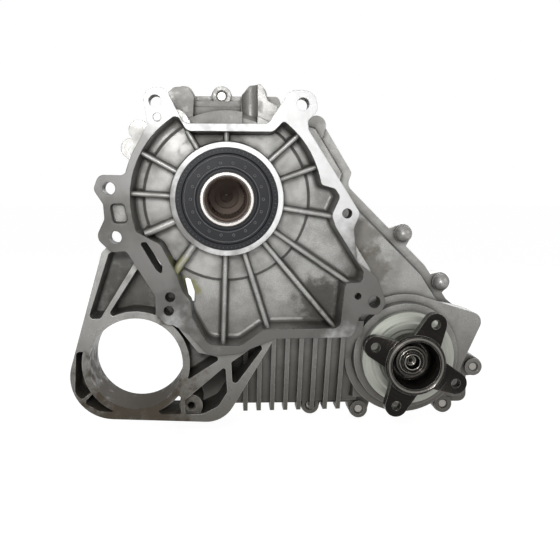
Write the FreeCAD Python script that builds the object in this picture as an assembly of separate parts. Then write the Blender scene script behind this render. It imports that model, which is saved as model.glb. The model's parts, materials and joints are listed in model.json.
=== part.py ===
import FreeCAD, Part

import math
import os

# Transfer case with a chain-driven front output, in millimetres.
# The main shaft runs along Y through the origin. y = 0 is the face that meets the gearbox,
# +Y runs to the rear, +X to the side of the front output and +Z up.

os.makedirs("parts", exist_ok=True)

def at(x, y, z):
    return FreeCAD.Vector(x, y, z)


def round_place(angle, radius, x=0.0, z=0.0):
    return (x + radius * math.cos(math.radians(angle)), z + radius * math.sin(math.radians(angle)))


# Casting
flange_thickness = 20.0
bell_depth = 31.0
case_wall = 5.0
bell_wall = 6.5
draft = 1.4
rim_width = 9.0
rim_thickness = 12.0
parting_y = 78.0
case_radius = 90.0
chamber_radius = 74.0
chain_case_front = 46.0
output_boss_front = 31.0
output_boss_radius = 52.0
output_ridge_radius = 60.0
output_ridge_end = (243.0, -124.0, 10.0)
seal_boss_radius = 51.3
seal_boss_front = 2.0
floor_step_radius = 78.6
floor_step = 3.0
rib_width = 4.6
rib_top = 7.0
sump_top_front = 24.0
sump_bottom_front = 61.0
sump_top = -118.0
sump_bottom = -207.5
fin_width = 4.4
fin_height = 7.0
fin_pitch = 13.45
fin_count = 8
first_fin_x = 16.8

# Gearbox fastening
ear_hole_radius = 5.7
bracket_ear = 3
side_hole_radius = 4.6
side_hole_depth = 24.0

# Bracket with its bush ring
bracket_front = 4.0
bracket_thickness = 42.0
pocket_depth = 34.0
bush_ring_x = -85.4
bush_ring_z = -151.5
bush_ring_radius = 42.9
bush_ring_wall = 7.0
bush_ring_length = 50.0
bracket_lug = (-35.7, -193.8)
bracket_lug_front = 8.0
bracket_lug_radius = 11.0
bracket_lug_hole = 3.2
window_depth = 9.0

# Ledge above the bell
ledge_front = 28.0
ledge_floor = 47.0
ledge_groove = (22.0, 7.5)

# Chain drive
chain_pitch = 11.1125
chain_links = 66
sprocket_teeth = 24
chain_width = 22.0
chain_start = 68.0
output_angle = -41.5
centre_distance = (chain_links - sprocket_teeth) * chain_pitch / 2
output_x = centre_distance * math.cos(math.radians(output_angle))
output_z = centre_distance * math.sin(math.radians(output_angle))
pitch_radius = sprocket_teeth * chain_pitch / (2 * math.pi)
chain_back = 5.4
chain_room = 2.2

# Main shaft and its bearings
seat_gap = 0.03
running_gap = 0.3
input_radius = 25.0
input_mouth_radius = 20.4
input_mouth_depth = 24.0
input_mouth_bevel = 1.4
input_bore_radius = 19.0
input_bore_depth = 112.0
input_spline_start = 64.0
input_spline_end = 106.0
shaft_middle_bore = 12.9
shaft_middle_end = 138.0
shaft_rear_bore = 7.1
shaft_rear_end = 158.0
seal_start = 3.0
seal_width = 10.0
input_seal_radius = 46.5
snap_ring_width = 1.8
input_bearing_radius = 45.0
input_bearing_width = 20.0
bearing_ring_wall = 6.0
rear_bearing_radius = 40.0
rear_bearing_bore = 20.0
rear_bearing_width = 18.0
rear_seal_width = 8.0
rear_hub_radius = 24.0
shoulder = 2.8

# Front output
output_seal_radius = 31.0
output_hub_radius = 22.0
output_bearing_radius = 36.0
output_bearing_bore = 17.5
output_bearing_width = 17.0
tail_bearing_radius = 31.0
tail_bearing_bore = 15.0
tail_bearing_width = 16.0
output_flange_face = -10.0
output_bolt_circle = 85.0
output_bolt_radius = 4.3
arm_angles = (65.0, 155.0, 245.0, 335.0)
shield_radius = 45.3
shield_y = 20.0

# Rear output
rear_bolt_circle = 96.0
rear_bolt_radius = 6.1

# Sizes inside, along the shafts
pump_shaft_radius = 22.0
pump_flat = 20.6
pump_ring_radius = 42.5
pump_screw_angles = (30.0, 150.0, 270.0)
needle_seat_radius = 24.0
hub_seat_radius = 25.0
flange_seat_radius = 17.0
nut_radius = 12.0
input_spline_count = 36
input_spline_depth = 1.1
output_spline_radius = 14.0
output_thread_radius = 10.5
shaft_cup_radius = 7.0
output_shoulder_radius = 21.0
output_sprocket_seat = 20.0
output_hub_outer = 28.7
arm_thickness = 11.0
nut_seat_y = 15.0
control_shaft_radius = 7.0
control_room = 32.0
cam_width = 5.6
rear_rim_thickness = 10.0

# Oil pump
pump_pins = 7
pump_pin_circle = 37.0
pump_pin_radius = 8.0
pump_offset = 2.5
pump_width = 12.0
pump_ring_x = -pump_offset
pump_plate = 4.0
pump_radius = 58.0

# Clutch
drum_radius = 62.0
drum_wall = 3.6
plate_count = 6
steel_plate = 1.8
friction_plate = 2.0
plate_gap = 0.35
hub_spline_radius = 38.0
spline_count = 12
spline_depth = 2.2
clutch_release = 1.5

# Actuator
lever_thickness = 7.0
lever_radius = 56.0
ball_radius = 5.0
ball_circle = 44.0
ball_count = 5
lever_gap = 3.4
control_radius = 86.0
control_angle = 20.0
actuator_turn = 90.0
actuator_screw_circle = 33.0
actuator_screw_angles = (75.0, 170.0, 262.0)
roller_radius = 6.5
cam_radius = 14.0
cam_travel = 110.0
lever_travel = 6.0
clutch_travel = 1.2
wheel_teeth = 38
wheel_module = 1.0
worm_radius = 5.5
worm_half_turns = 5
motor_radius = 18.0
motor_length = 72.0

# Places that follow from the sizes above, in order along the main shaft
snap_ring_y = seal_start + seal_width + running_gap
input_bearing_y = snap_ring_y + snap_ring_width
bearing_lip_y = input_bearing_y + input_bearing_width
pump_y = bearing_lip_y + shoulder
pump_end = pump_y + 2 * pump_plate + pump_width
sprocket_hub_y = pump_end + 3.5
chain_end = chain_start + chain_width
drum_y = chain_end + 2.5
plates_y = drum_y + 4 + 2.2
plate_step = steel_plate + friction_plate + 2 * plate_gap
plates_end = plates_y + plate_count * plate_step + steel_plate
pressure_y = plates_end + clutch_release
pressure_thickness = 5.0
thrust_y = pressure_y + pressure_thickness
thrust_thickness = 4.0
lever_y = thrust_y + thrust_thickness + running_gap
ball_y = lever_y + lever_thickness + lever_gap / 2
rear_lever_y = lever_y + lever_thickness + lever_gap
washer_y = rear_lever_y + lever_thickness + running_gap
washer_thickness = 2.4
chamber_end = washer_y + washer_thickness
rear_bearing_y = chamber_end + case_wall + shoulder
rear_ring_y = rear_bearing_y + rear_bearing_width + 0.1
rear_seal_y = rear_ring_y + snap_ring_width + 0.6
boss_end = rear_seal_y + rear_seal_width + 1.0
rear_flange_y = boss_end + 6.0
rear_flange_thickness = 10.0
rear_flange_end = rear_flange_y + rear_flange_thickness
shaft_end = rear_flange_end + 8.0
output_seal_y = output_boss_front + 2.5
output_seal_width = 9.0
output_bearing_y = output_seal_y + output_seal_width + 2.5
output_ring_y = output_bearing_y + output_bearing_width + 0.1
tail_bearing_y = chain_end + 4.0
tail_end = tail_bearing_y + tail_bearing_width
control_x = control_radius * math.cos(math.radians(control_angle))
control_z = control_radius * math.sin(math.radians(control_angle))
actuator_y = chamber_end + case_wall + 5.0
wheel_y = actuator_y + 16.0
wheel_width = 10.0
wheel_radius = wheel_teeth * wheel_module / 2
actuator_end = wheel_y + wheel_width + 6.0
worm_z = control_z + wheel_radius + worm_radius
motor_y = wheel_y + wheel_width / 2
cam_y = ball_y
rear_wall_y = chain_end + 11.0
worm_root = worm_radius - 1.3
worm_start = control_x - 20.0
worm_end = control_x + 22.0
fill_place = (150.0, -60.0)
drain_place = (60.0, -186.0)
breather_place = (104.0, -70.0)
dowel_bolts = (1, 9)
rear_rib_angles = (72, 100, 135, 170, 205, 240, 275, 312)
tail_rib_angles = (20, 75, 250, 305, 350)
web_lines = [
    (40.0, -70.0, 150.0, -160.0), (80.0, 10.0, 160.0, -120.0), (5.0, -90.0, -10.0, -195.0),
    (70.0, -80.0, 100.0, -200.0),
]
actuator_screw_places = [
    round_place(angle, actuator_screw_circle, control_x, control_z) for angle in actuator_screw_angles
]


def rod(radius, start, end, x=0.0, z=0.0):
    return Part.makeCylinder(radius, end - start, at(x, start, z), at(0, 1, 0))


def taper(radius, end_radius, start, end, x=0.0, z=0.0):
    return Part.makeCone(radius, end_radius, end - start, at(x, start, z), at(0, 1, 0))


def tube(radius, bore, start, end, x=0.0, z=0.0):
    return rod(radius, start, end, x, z).cut(rod(bore, start - 1, end + 1, x, z))


def turned(profile, x=0.0, z=0.0):
    # A solid turned about a Y axis from (radius, y) points
    points = [at(x + radius, y, z) for radius, y in profile]
    face = Part.Face(Part.makePolygon(points + points[:1]))
    return face.revolve(at(x, 0, z), at(0, 1, 0), 360)


def outline(corners, y, grow=0.0):
    # A closed outline at depth y through (x, z, radius) corners, moved outward by grow
    count = len(corners)
    area = sum(corners[i - 1][0] * corners[i][1] - corners[i][0] * corners[i - 1][1] for i in range(count))
    side = 1.0 if area > 0 else -1.0
    ways = []
    for i in range(count):
        x0, z0 = corners[i][:2]
        x1, z1 = corners[(i + 1) % count][:2]
        length = math.hypot(x1 - x0, z1 - z0)
        ways.append(((x1 - x0) / length, (z1 - z0) / length))
    pieces = []
    for i in range(count):
        ax, az = ways[i - 1]
        bx, bz = ways[i]
        nax, naz = side * az, -side * ax
        nbx, nbz = side * bz, -side * bx
        dot = ax * bx + az * bz
        px = corners[i][0] + grow * (nax + nbx) / (1 + dot)
        pz = corners[i][1] + grow * (naz + nbz) / (1 + dot)
        convex = side * (ax * bz - az * bx) > 0
        radius = corners[i][2] + (grow if convex else -grow)
        radius = max(radius, 0.4)
        reach = radius * math.sqrt((1 - dot) / (1 + dot))
        inward = -1.0 if convex else 1.0
        cx = px - ax * reach + inward * nax * radius
        cz = pz - az * reach + inward * naz * radius
        far = math.hypot(px - cx, pz - cz)
        middle = at(cx + (px - cx) * radius / far, y, cz + (pz - cz) * radius / far)
        pieces.append((at(px - ax * reach, y, pz - az * reach), middle,
                       at(px + bx * reach, y, pz + bz * reach)))
    edges = []
    for i in range(count):
        start, middle, end = pieces[i]
        edges.append(Part.Arc(start, middle, end).toShape())
        edges.append(Part.LineSegment(end, pieces[(i + 1) % count][0]).toShape())
    return Part.Wire(edges)


def slab(corners, start, end, grow=0.0, end_grow=None):
    # The outline between two depths, with leaning walls where the two sizes differ
    if end_grow is None or end_grow == grow:
        return Part.Face(outline(corners, start, grow)).extrude(at(0, end - start, 0))
    return Part.makeLoft([outline(corners, start, grow), outline(corners, end, end_grow)], True, True)


def pocket(corners, mouth, floor, lean=0.8, fillet=2.4):
    # A cast hollow: leaning walls and a rounded foot
    wires = [outline(corners, mouth, 0.0), outline(corners, floor - fillet, -lean)]
    for turn in (30.0, 60.0, 90.0):
        drop = fillet * math.sin(math.radians(turn))
        inset = fillet * (1 - math.cos(math.radians(turn)))
        wires.append(outline(corners, floor - fillet + drop, -lean - inset))
    return Part.makeLoft(wires, True, True)


def hull(x0, z0, r0, x1, z1, r1, start, end):
    # Two discs and the straight web that touches both
    length = math.hypot(x1 - x0, z1 - z0)
    heading = math.atan2(z1 - z0, x1 - x0)
    lean = math.acos((r0 - r1) / length)
    points = []
    for x, z, radius in ((x0, z0, r0), (x1, z1, r1)):
        for sign in (1, -1):
            angle = heading + sign * lean
            points.append(at(x + radius * math.cos(angle), start, z + radius * math.sin(angle)))
    web = Part.Face(Part.makePolygon([points[0], points[2], points[3], points[1], points[0]]))
    body = web.extrude(at(0, end - start, 0))
    return body.fuse([rod(r0, start, end, x0, z0), rod(r1, start, end, x1, z1)]).removeSplitter()


def rib(x0, z0, x1, z1, top, foot, width=rib_width, lean=0.7, flare=3.0):
    # A straight cast rib with a rounded top, leaning sides and a flared foot
    length = math.hypot(x1 - x0, z1 - z0)
    ux, uz = (x1 - x0) / length, (z1 - z0) / length
    half = width / 2
    low = half + lean

    def across(offset, y):
        return at(x0 - uz * offset, y, z0 + ux * offset)

    bend = flare * (1 - math.sqrt(0.5))
    edges = [
        Part.Arc(across(-low - flare, foot), across(-low - bend, foot - bend), across(-low, foot - flare)),
        Part.LineSegment(across(-low, foot - flare), across(-half, top + half)),
        Part.Arc(across(-half, top + half), across(0, top), across(half, top + half)),
        Part.LineSegment(across(half, top + half), across(low, foot - flare)),
        Part.Arc(across(low, foot - flare), across(low + bend, foot - bend), across(low + flare, foot)),
        Part.LineSegment(across(low + flare, foot), across(low + flare, foot + 1)),
        Part.LineSegment(across(low + flare, foot + 1), across(-low - flare, foot + 1)),
        Part.LineSegment(across(-low - flare, foot + 1), across(-low - flare, foot)),
    ]
    section = Part.Face(Part.Wire([edge.toShape() for edge in edges]))
    return section.extrude(at(ux * length, 0, uz * length))


def around(shape, count, x=0.0, z=0.0, first=0.0):
    # Copies of a shape, evenly turned about a Y axis
    copies = []
    for i in range(count):
        copy = shape.copy()
        copy.rotate(at(x, 0, z), at(0, 1, 0), first + i * 360.0 / count)
        copies.append(copy)
    return copies


def save(name, shape):
    shape.exportStep("parts/" + name + ".step")


# Outlines of the casting, as (x, z, corner radius)
flange_corners = [
    (-69.5, 66.0, 5.0), (-70.5, 76.0, 4.0), (-75.2, 98.2, 11.5), (-53.5, 98.2, 9.0), (-37.8, 67.0, 6.0),
    (37.5, 67.0, 6.0), (57.0, 96.6, 9.0), (80.8, 96.4, 12.0), (81.5, 78.0, 7.0), (73.0, 70.0, 4.0),
    (73.6, 62.0, 6.0), (121.5, -13.0, 7.0), (115.6, -27.0, 9.0), (119.4, -58.0, 5.0), (138.5, -72.0, 9.0),
    (147.3, -97.0, 9.0), (140.5, -107.4, 7.0), (122.6, -107.2, 5.0), (116.8, -128.6, 9.0),
    (43.0, -129.0, 9.0),
    (10.0, -142.5, 18.0), (-18.0, -144.5, 14.0), (-37.0, -122.0, 10.0), (-66.0, -106.0, 7.0),
    (-66.0, -88.0, 5.0),
    (-91.0, -46.0, 5.0), (-104.0, -47.5, 8.0), (-117.5, -34.0, 9.0), (-109.5, -17.5, 6.0),
    (-110.2, -4.0, 6.0),
    (-118.5, 9.0, 7.0), (-113.5, 22.0, 7.0), (-90.0, 21.5, 6.0), (-86.0, 36.0, 20.0),
]
bell_radius = 86.5
bell_corners = [
    (*round_place(160.0, bell_radius / math.cos(math.radians(35.0))), bell_radius), (-43.5, 75.2, 5.0),
    (-35.0, 60.5, 8.0), (42.0, 60.2, 7.0), (51.5, 69.9, 3.2),
    (*round_place(31.5, bell_radius / math.cos(math.radians(17.5))), bell_radius), (85.9, 13.0, 4.0),
    (98.5, 9.5, 5.0), (103.0, 2.0, 5.0), (95.5, -14.5, 7.0), (99.0, -25.0, 12.0), (125.8, -67.5, 4.0),
    (124.5, -76.8, 4.0), (108.5, -77.5, 5.0), (106.2, -100.0, 8.0), (104.2, -120.0, 7.0),
    (33.0, -120.0, 12.0),
    (11.0, -135.5, 12.0), (-19.0, -134.0, 12.0), (-34.0, -106.0, 14.0),
    (-47.5, -66.0, 10.0), (-60.5, -40.5, 8.0), (-81.8, -29.0, 4.0),
]
base_corners = [
    (*round_place(190.0, case_radius / math.cos(math.radians(55.0))), case_radius), (-50.0, 77.2, 6.0),
    (-57.0, 98.5, 9.0), (52.0, 98.5, 6.0), (57.0, 83.0, 6.0), (79.0, 81.0, 6.0), (94.0, 76.0, 7.0),
    (125.5, 24.5, 5.0), (121.0, 12.0, 8.0), (202.0, -69.0, 25.0), (225.0, -104.0, 10.0),
    (246.5, -121.0, 12.0),
    (249.5, -214.0, 9.0), (-47.0, -210.0, 9.0), (-34.0, -102.0, 15.0), (-32.6, -84.1, 5.0),
]
chain_case_corners = base_corners[:13] + [
    (112.0, -212.4, 5.0), (112.0, -105.0, 5.0), (-30.0, -105.0, 5.0), (-32.6, -84.1, 5.0),
]
bracket_corners = [
    (-104.0, -38.0, 2.0), (-113.5, -47.5, 4.0), (-158.3, -201.0, 40.0), (-5.4, -209.4, 28.0),
    (44.5, -127.0, 3.0),
    (30.0, -112.0, 2.0), (-70.0, -30.0, 2.0),
]
bracket_pockets = [
    [(-107.0, -47.5, 5.0), (-91.5, -45.0, 6.0), (-82.0, -53.0, 4.0), (-116.5, -108.5, 3.5),
     (-127.5, -108.5, 3.5)],
    [(-79.5, -59.0, 4.0), (-62.5, -88.0, 4.0), (-66.0, -106.5, 4.0), (-88.5, -102.5, 16.0),
     (-111.0, -107.5, 3.0)],
    [(-139.6, -139.0, 3.5), (-130.8, -139.0, 3.5), (-131.0, -162.0, 20.0), (-124.0, -175.0, 3.0),
     (-136.0, -184.5, 3.0), (-142.0, -178.0, 8.0)],
    [(-134.5, -187.5, 3.0), (-124.0, -177.5, 3.0), (-101.0, -197.0, 3.0), (-119.0, -196.5, 8.0)],
    [(-57.0, -118.0, 3.0), (-49.5, -113.5, 3.0), (-28.0, -141.5, 5.0), (-6.0, -147.0, 2.5),
     (-39.5, -168.5, 3.0), (-42.0, -146.0, 12.0)],
]
open_pockets = [
    [(-71.5, -200.0, 3.0), (-45.0, -181.0, 2.0), (-45.0, -200.5, 2.0)],
    [(-41.0, -187.0, 3.0), (-3.0, -155.0, 2.0), (-1.5, -180.0, 3.0), (-10.0, -193.5, 12.0),
     (-24.0, -200.5, 12.0),
     (-41.0, -201.0, 3.0)],
    [(2.5, -151.5, 2.0), (28.5, -133.5, 3.0), (32.0, -138.5, 3.0), (3.5, -177.0, 3.0)],
]
block_corners = [
    (-66.0, -86.0, 6.0), (-57.0, -78.0, 6.0), (-44.0, -80.0, 6.0), (-34.0, -93.0, 6.0), (-33.0, -107.0, 6.0),
    (-43.0, -115.5, 5.0), (-57.0, -114.0, 6.0), (-66.0, -104.0, 6.0),
]
ledge_lobes = [
    [(-61.0, 62.0, 2.0), (-58.0, 92.0, 4.0), (-47.5, 101.5, 6.0), (-34.0, 102.5, 6.0), (-29.5, 93.0, 3.0),
     (-31.0, 62.0, 2.0)],
    [(13.5, 62.0, 2.0), (14.5, 95.0, 4.0), (22.0, 104.5, 4.0), (33.0, 105.0, 4.0), (38.5, 90.0, 4.0),
     (48.0, 85.0, 4.0),
     (52.0, 62.0, 2.0)],
]
ledge_recess = [(-34.0, 60.0, 1.0), (-34.0, 91.0, 1.0), (18.0, 91.0, 1.0), (18.0, 60.0, 1.0)]
slot_corners = [
    (-79.0, -38.5, 2.0), (-73.0, -38.0, 2.0), (-59.0, -60.0, 2.0), (-59.5, -68.0, 1.5), (-65.0, -63.0, 5.0),
]
drain_slot_corners = [
    (-41.5, -76.0, 3.0), (-36.0, -74.0, 3.0), (-31.5, -88.0, 8.0), (-30.5, -101.5, 2.5), (-37.0, -98.0, 4.0),
]
window_corners = [(-105.0, -3.5, 4.0), (-91.5, -3.5, 4.0), (-88.0, -21.0, 4.0), (-102.0, -21.5, 4.0)]

# Places of the fastenings, as (x, z)
ear_holes = [(-62.4, 86.1), (68.5, 84.5), (-104.8, 9.9), (-100.4, -33.8), (136.1, -95.4)]
blind_holes = [(109.5, -13.0), (-52.7, -88.6), (-54.1, -101.3)]
small_hole = (120.5, -89.8)
case_bolt_places = [
    (-84.0, 65.0), (-92.0, 47.5), (-40.0, 97.0), (-4.0, 97.5), (30.0, 98.5), (88.0, 70.0), (177.0, -36.5),
    (217.0, -86.0), (247.5, -127.5), (254.0, -175.5), (223.0, -214.5), (134.0, -218.0), (83.5, -212.5),
    (-37.8, -210.5),
]
bolt_roots = [
    (-68.0, 52.0), (-72.0, 38.0), (-38.0, 82.0), (-4.0, 84.0), (28.0, 84.0), (80.0, 60.0), (166.0, -46.0),
    (203.0, -94.0), (230.0, -128.0), (236.0, -172.0), (222.0, -196.0), (134.0, -198.0), (83.5, -196.0),
    (-34.0, -194.0),
]
domed_bolts = (6, 7)
flat_bolts = (0, 1, 2, 4, 5)
lug_radius = 9.6
boss_front = 62.0
case_bolt_radius = 4.0
case_bolt_length = 24.0
blind_cover = 1.5
dowel_radius = 6.5
rib_lines = [
    (151.4, 84.5, 0), (176.5, 86.0, 0), (90.0, 61.0, 0), (120.0, 69.0, 0), (41.5, 86.0, 0), (19.6, 86.0, 0),
    (-9.3, 101.5, 0), (-34.7, 139.0, 0), (-50.3, 158.0, 0), (-72.9, 126.5, 0), (-92.1, 134.0, 0),
]
wide_rib_lines = [(-157.3, 79.0), (-126.0, 92.0)]
rib_start = seal_boss_radius - 1.5


def fins():
    # Cooling fins that lean back with the sump's front wall
    shapes = []
    for i in range(fin_count):
        x = first_fin_x + i * fin_pitch - fin_width / 2
        points = [
            at(x, sump_top_front - fin_height + 3, -126),
            at(x, sump_bottom_front - fin_height, sump_bottom - fin_height),
            at(x, parting_y - 6, sump_bottom - fin_height), at(x, parting_y - 6, -126),
        ]
        shapes.append(Part.Face(Part.makePolygon(points + points[:1])).extrude(at(fin_width, 0, 0)))
    return shapes


def wedge(x0, x1, inset, top, back):
    # The sump's leaning front, between two x places
    slope = (sump_bottom_front - sump_top_front) / (sump_bottom - sump_top)
    points = [
        at(x0, sump_top_front + inset + slope * (top - sump_top), top),
        at(x0, sump_bottom_front + inset, sump_bottom + inset),
        at(x0, back, sump_bottom + inset), at(x0, back, top),
    ]
    return Part.Face(Part.makePolygon(points + points[:1])).extrude(at(x1 - x0, 0, 0))


def chain_room_shape(grow, start, end):
    # The space in which the chain runs, around both of its sprockets
    radius = pitch_radius + chain_back + chain_room + grow
    return hull(0, 0, radius, output_x, output_z, radius - 0.01, start, end)


def case_outside():
    # Everything outside of the front casting before it is hollowed
    solids = [slab(flange_corners, 0, flange_thickness, 0, -0.8)]
    solids.append(slab(bell_corners, 1, bell_depth + case_wall, bell_wall, bell_wall - draft))
    solids.append(taper(case_radius - 9, case_radius - rim_width + 2, bell_depth - 4, parting_y - 4))
    solids.append(slab(chain_case_corners, chain_case_front, parting_y - 6, -rim_width - 4, -rim_width + 1))
    solids.append(chain_room_shape(case_wall, chain_start - 3 - case_wall, parting_y - 4))
    solids.append(taper(output_boss_radius, output_boss_radius + 3, output_boss_front, chain_case_front + 10,
                        output_x, output_z))
    solids.append(wedge(-26, 131, 0, sump_top, parting_y - 4))
    solids.append(slab(base_corners, parting_y - rim_thickness, parting_y, -1.0, 0.0))
    solids += [slab(corners, ledge_front, parting_y - 4) for corners in ledge_lobes]
    solids.append(slab(ledge_recess, ledge_floor, parting_y - 4))
    solids.append(hull(output_x, output_z, output_ridge_radius, *output_ridge_end, chain_case_front - 5,
                       parting_y - 4))
    for index, (x, z) in enumerate(case_bolt_places):
        root_x, root_z = bolt_roots[index]
        start = boss_front if index in flat_bolts else parting_y - rim_thickness
        solids.append(hull(x, z, lug_radius, root_x, root_z, lug_radius + 5, start, parting_y))
        if index not in flat_bolts:
            solids.append(rod(lug_radius - 0.6, boss_front, parting_y - 1, x, z))
        if index in domed_bolts:
            solids.append(Part.makeSphere(lug_radius - 1.2, at(x, boss_front, z)))
    solids += fins()
    outside = solids[0].fuse(solids[1:])
    groove_x, groove_radius = ledge_groove
    return outside.cut(Part.makeCylinder(groove_radius, 60, at(groove_x, ledge_front + 2, 66), at(0, 0, 1)))


def bracket():
    # The plate that carries the bush ring, with its open and closed cast pockets
    plate = slab(bracket_corners, bracket_front, bracket_front + bracket_thickness, 0, -draft)
    plate = plate.fuse(rod(bush_ring_radius + bush_ring_wall, bracket_front, bracket_front + bush_ring_length,
                           bush_ring_x, bush_ring_z))
    cutters = [pocket(corners, bracket_front - 0.01, bracket_front + pocket_depth)
               for corners in bracket_pockets]
    cutters += [slab(corners, bracket_front - 0.01, bracket_front + bush_ring_length + 1, 0, -1)
                for corners in open_pockets]
    ring = rod(bush_ring_radius + bush_ring_wall - 0.5, bracket_front, bracket_front + bush_ring_length,
               bush_ring_x, bush_ring_z)
    lug_end = bracket_front + bracket_thickness - 2
    plate = plate.cut(cutters).fuse([ring, rod(bracket_lug_radius, bracket_lug_front, lug_end, *bracket_lug)])
    return plate.cut([
        rod(bracket_lug_hole, bracket_lug_front - 1, bracket_lug_front + 22, *bracket_lug),
        taper(bracket_lug_hole + 1.5, bracket_lug_hole, bracket_lug_front - 0.01, bracket_lug_front + 1.5,
              *bracket_lug),
    ])


def seal_boss():
    outer = taper(seal_boss_radius, seal_boss_radius + 2.5, seal_boss_front, bell_depth + 1)
    tail = rod(seal_boss_radius + 1, bell_depth, pump_y)
    step = taper(floor_step_radius - 3, floor_step_radius + 1, bell_depth - floor_step, bell_depth + 1)
    return outer.fuse([tail, step])


def bell_ribs():
    shapes = []
    for angle, reach, lift in rib_lines:
        x0, z0 = round_place(angle, rib_start)
        x1, z1 = round_place(angle, reach + 2)
        shapes.append(rib(x0, z0, x1, z1, rib_top + lift, bell_depth))
    for angle, reach in wide_rib_lines:
        x0, z0 = round_place(angle, rib_start)
        x1, z1 = round_place(angle, reach + 2)
        shapes.append(rib(x0, z0, x1, z1, rib_top - 2, bell_depth, rib_width + 2.4))
    return shapes


def front_case():
    body = case_outside()
    body = body.fuse([bracket(), slab(block_corners, 0, bell_depth + 8, 0, 1)])
    body = body.cut(pocket(bell_corners, -0.01, bell_depth, draft, 4.0))
    body = body.fuse([seal_boss(), slab(block_corners, 0, bell_depth + 4, 0, 1)] + bell_ribs())
    chamber = rod(chamber_radius, bell_depth + case_wall, parting_y + 1)
    chain_space = slab(chain_case_corners, chain_case_front + case_wall, parting_y + 1,
                       -rim_width - 4 - case_wall)
    sump_space = wedge(-20, 125, case_wall, sump_top - 8, parting_y + 1)
    cutters = [chamber.cut(rod(seal_boss_radius + 1, bell_depth, pump_y)), chain_space, sump_space,
               chain_room_shape(0, chain_start - 3, parting_y + 1)]
    hollow = cutters[0].fuse(cutters[1:])
    tower = rod(output_bearing_radius + 8, chain_case_front, output_ring_y + snap_ring_width + 1.4,
                output_x, output_z)
    feet = [rod(7.0, bell_depth, pump_y, *round_place(angle, pump_radius - 2)) for angle in pump_screw_angles]
    hollow = hollow.cut([tower] + feet)
    body = body.cut(hollow)
    holes = [
        rod(input_seal_radius, seal_boss_front - 1, seal_start + seal_width + 0.2),
        rod(input_bearing_radius + seat_gap, seal_boss_front, bearing_lip_y),
        rod(input_bearing_radius + 1.6, snap_ring_y - 0.1, input_bearing_y),
        rod(input_bearing_radius - 4, seal_boss_front, pump_y + 1),
        rod(output_seal_radius, output_boss_front - 1, output_seal_y + output_seal_width + 0.2, output_x,
            output_z),
        rod(output_bearing_radius - 4, output_boss_front - 1, output_bearing_y + 1, output_x, output_z),
        rod(output_bearing_radius + seat_gap, output_bearing_y, parting_y, output_x, output_z),
        rod(output_bearing_radius + 1.5, output_ring_y, output_ring_y + snap_ring_width, output_x, output_z),
        rod(bush_ring_radius, 0, bracket_front + bush_ring_length + 1, bush_ring_x, bush_ring_z),
        slab(slot_corners, -1, bell_depth + 20),
        slab(drain_slot_corners, bell_depth - 12, bell_depth + 20),
        pocket(window_corners, -0.01, window_depth, 0.5, 2.0),
        rod(ear_hole_radius + 4.8, flange_thickness, bracket_front + bracket_thickness + 1,
            *ear_holes[bracket_ear]),
        rod(3.2, -1, 18, *small_hole),
    ]
    holes += [rod(ear_hole_radius, -1, flange_thickness + 1, x, z) for x, z in ear_holes]
    holes += [rod(side_hole_radius, -1, side_hole_depth, x, z) for x, z in blind_holes]
    for index, (x, z) in enumerate(case_bolt_places):
        if index in domed_bolts + flat_bolts:
            holes.append(rod(case_bolt_radius, boss_front + blind_cover, parting_y + 1, x, z))
        else:
            holes.append(rod(case_bolt_radius, boss_front - 1, parting_y + 1, x, z))
            holes.append(taper(case_bolt_radius + 1.6, case_bolt_radius, boss_front - 0.01,
                               boss_front + 1.6, x, z))
    holes += [rod(2.48, pump_y - 5, pump_y + 1, *round_place(angle, pump_radius - 2))
              for angle in pump_screw_angles]
    holes += [rod(dowel_radius, parting_y - 8, parting_y + 1, *case_bolt_places[i]) for i in dowel_bolts]
    return body.cut(holes)


def keys(count, radius, width, depth, start, end, first=0.0, x=0.0, z=0.0):
    # Straight spline keys that stand between radius - depth and radius
    key = Part.makeBox(depth + 1, end - start, width, at(x + radius - depth - 1, start, z - width / 2))
    key = key.common(rod(radius, start, end, x, z))
    return around(key, count, x, z, first)


def bearing_outer(radius, bore, width, start, x=0.0, z=0.0):
    # Outer ring with its two shields
    edge = bore + bearing_ring_wall + 0.3
    return turned([
        (radius, start), (radius, start + width), (edge, start + width), (edge, start + width - 1.2),
        (radius - bearing_ring_wall, start + width - 1.2), (radius - bearing_ring_wall, start + 1.2),
        (edge, start + 1.2), (edge, start),
    ], x, z)


def bearing_inner(bore, width, start, x=0.0, z=0.0):
    return tube(bore + bearing_ring_wall, bore + seat_gap, start, start + width, x, z)


def seal(radius, lip, width, start, x=0.0, z=0.0):
    # Lip seal: a stiff outer band, a waisted web and a lip that stops just short of the shaft
    return turned([
        (radius, start), (radius, start + width), (radius - 3, start + width), (radius - 3, start + 3.5),
        (lip + 5, start + 3.5), (lip + 3, start + width - 1), (lip + running_gap / 3, start + width - 1.5),
        (lip + 1.2, start + 2.4), (lip + running_gap / 3, start + 0.5), (lip + 2.5, start + 0.5),
        (lip + 3.5, start + 1.4), (radius - 6, start + 1.4), (radius - 5, start),
    ], x, z)


def snap_ring(radius, width, start, x=0.0, z=0.0):
    # An open ring with two pierced ears, which springs into its groove
    ring = tube(radius, radius - 4.4, start + 0.1, start + width - 0.1, x, z)
    gap = Part.makeBox(9, width + 2, 6, at(x - 4.5, start - 1, z - radius - 0.5))
    ring = ring.cut(gap)
    for side in (-1, 1):
        ear_x = x + side * 7.2
        ear_z = z - math.sqrt((radius - 4.4) ** 2 - 7.2 ** 2)
        ear = tube(3.4, 1.2, start + 0.1, start + width - 0.1, ear_x, ear_z + 0.6)
        ring = ring.fuse(ear)
    return ring


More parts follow.
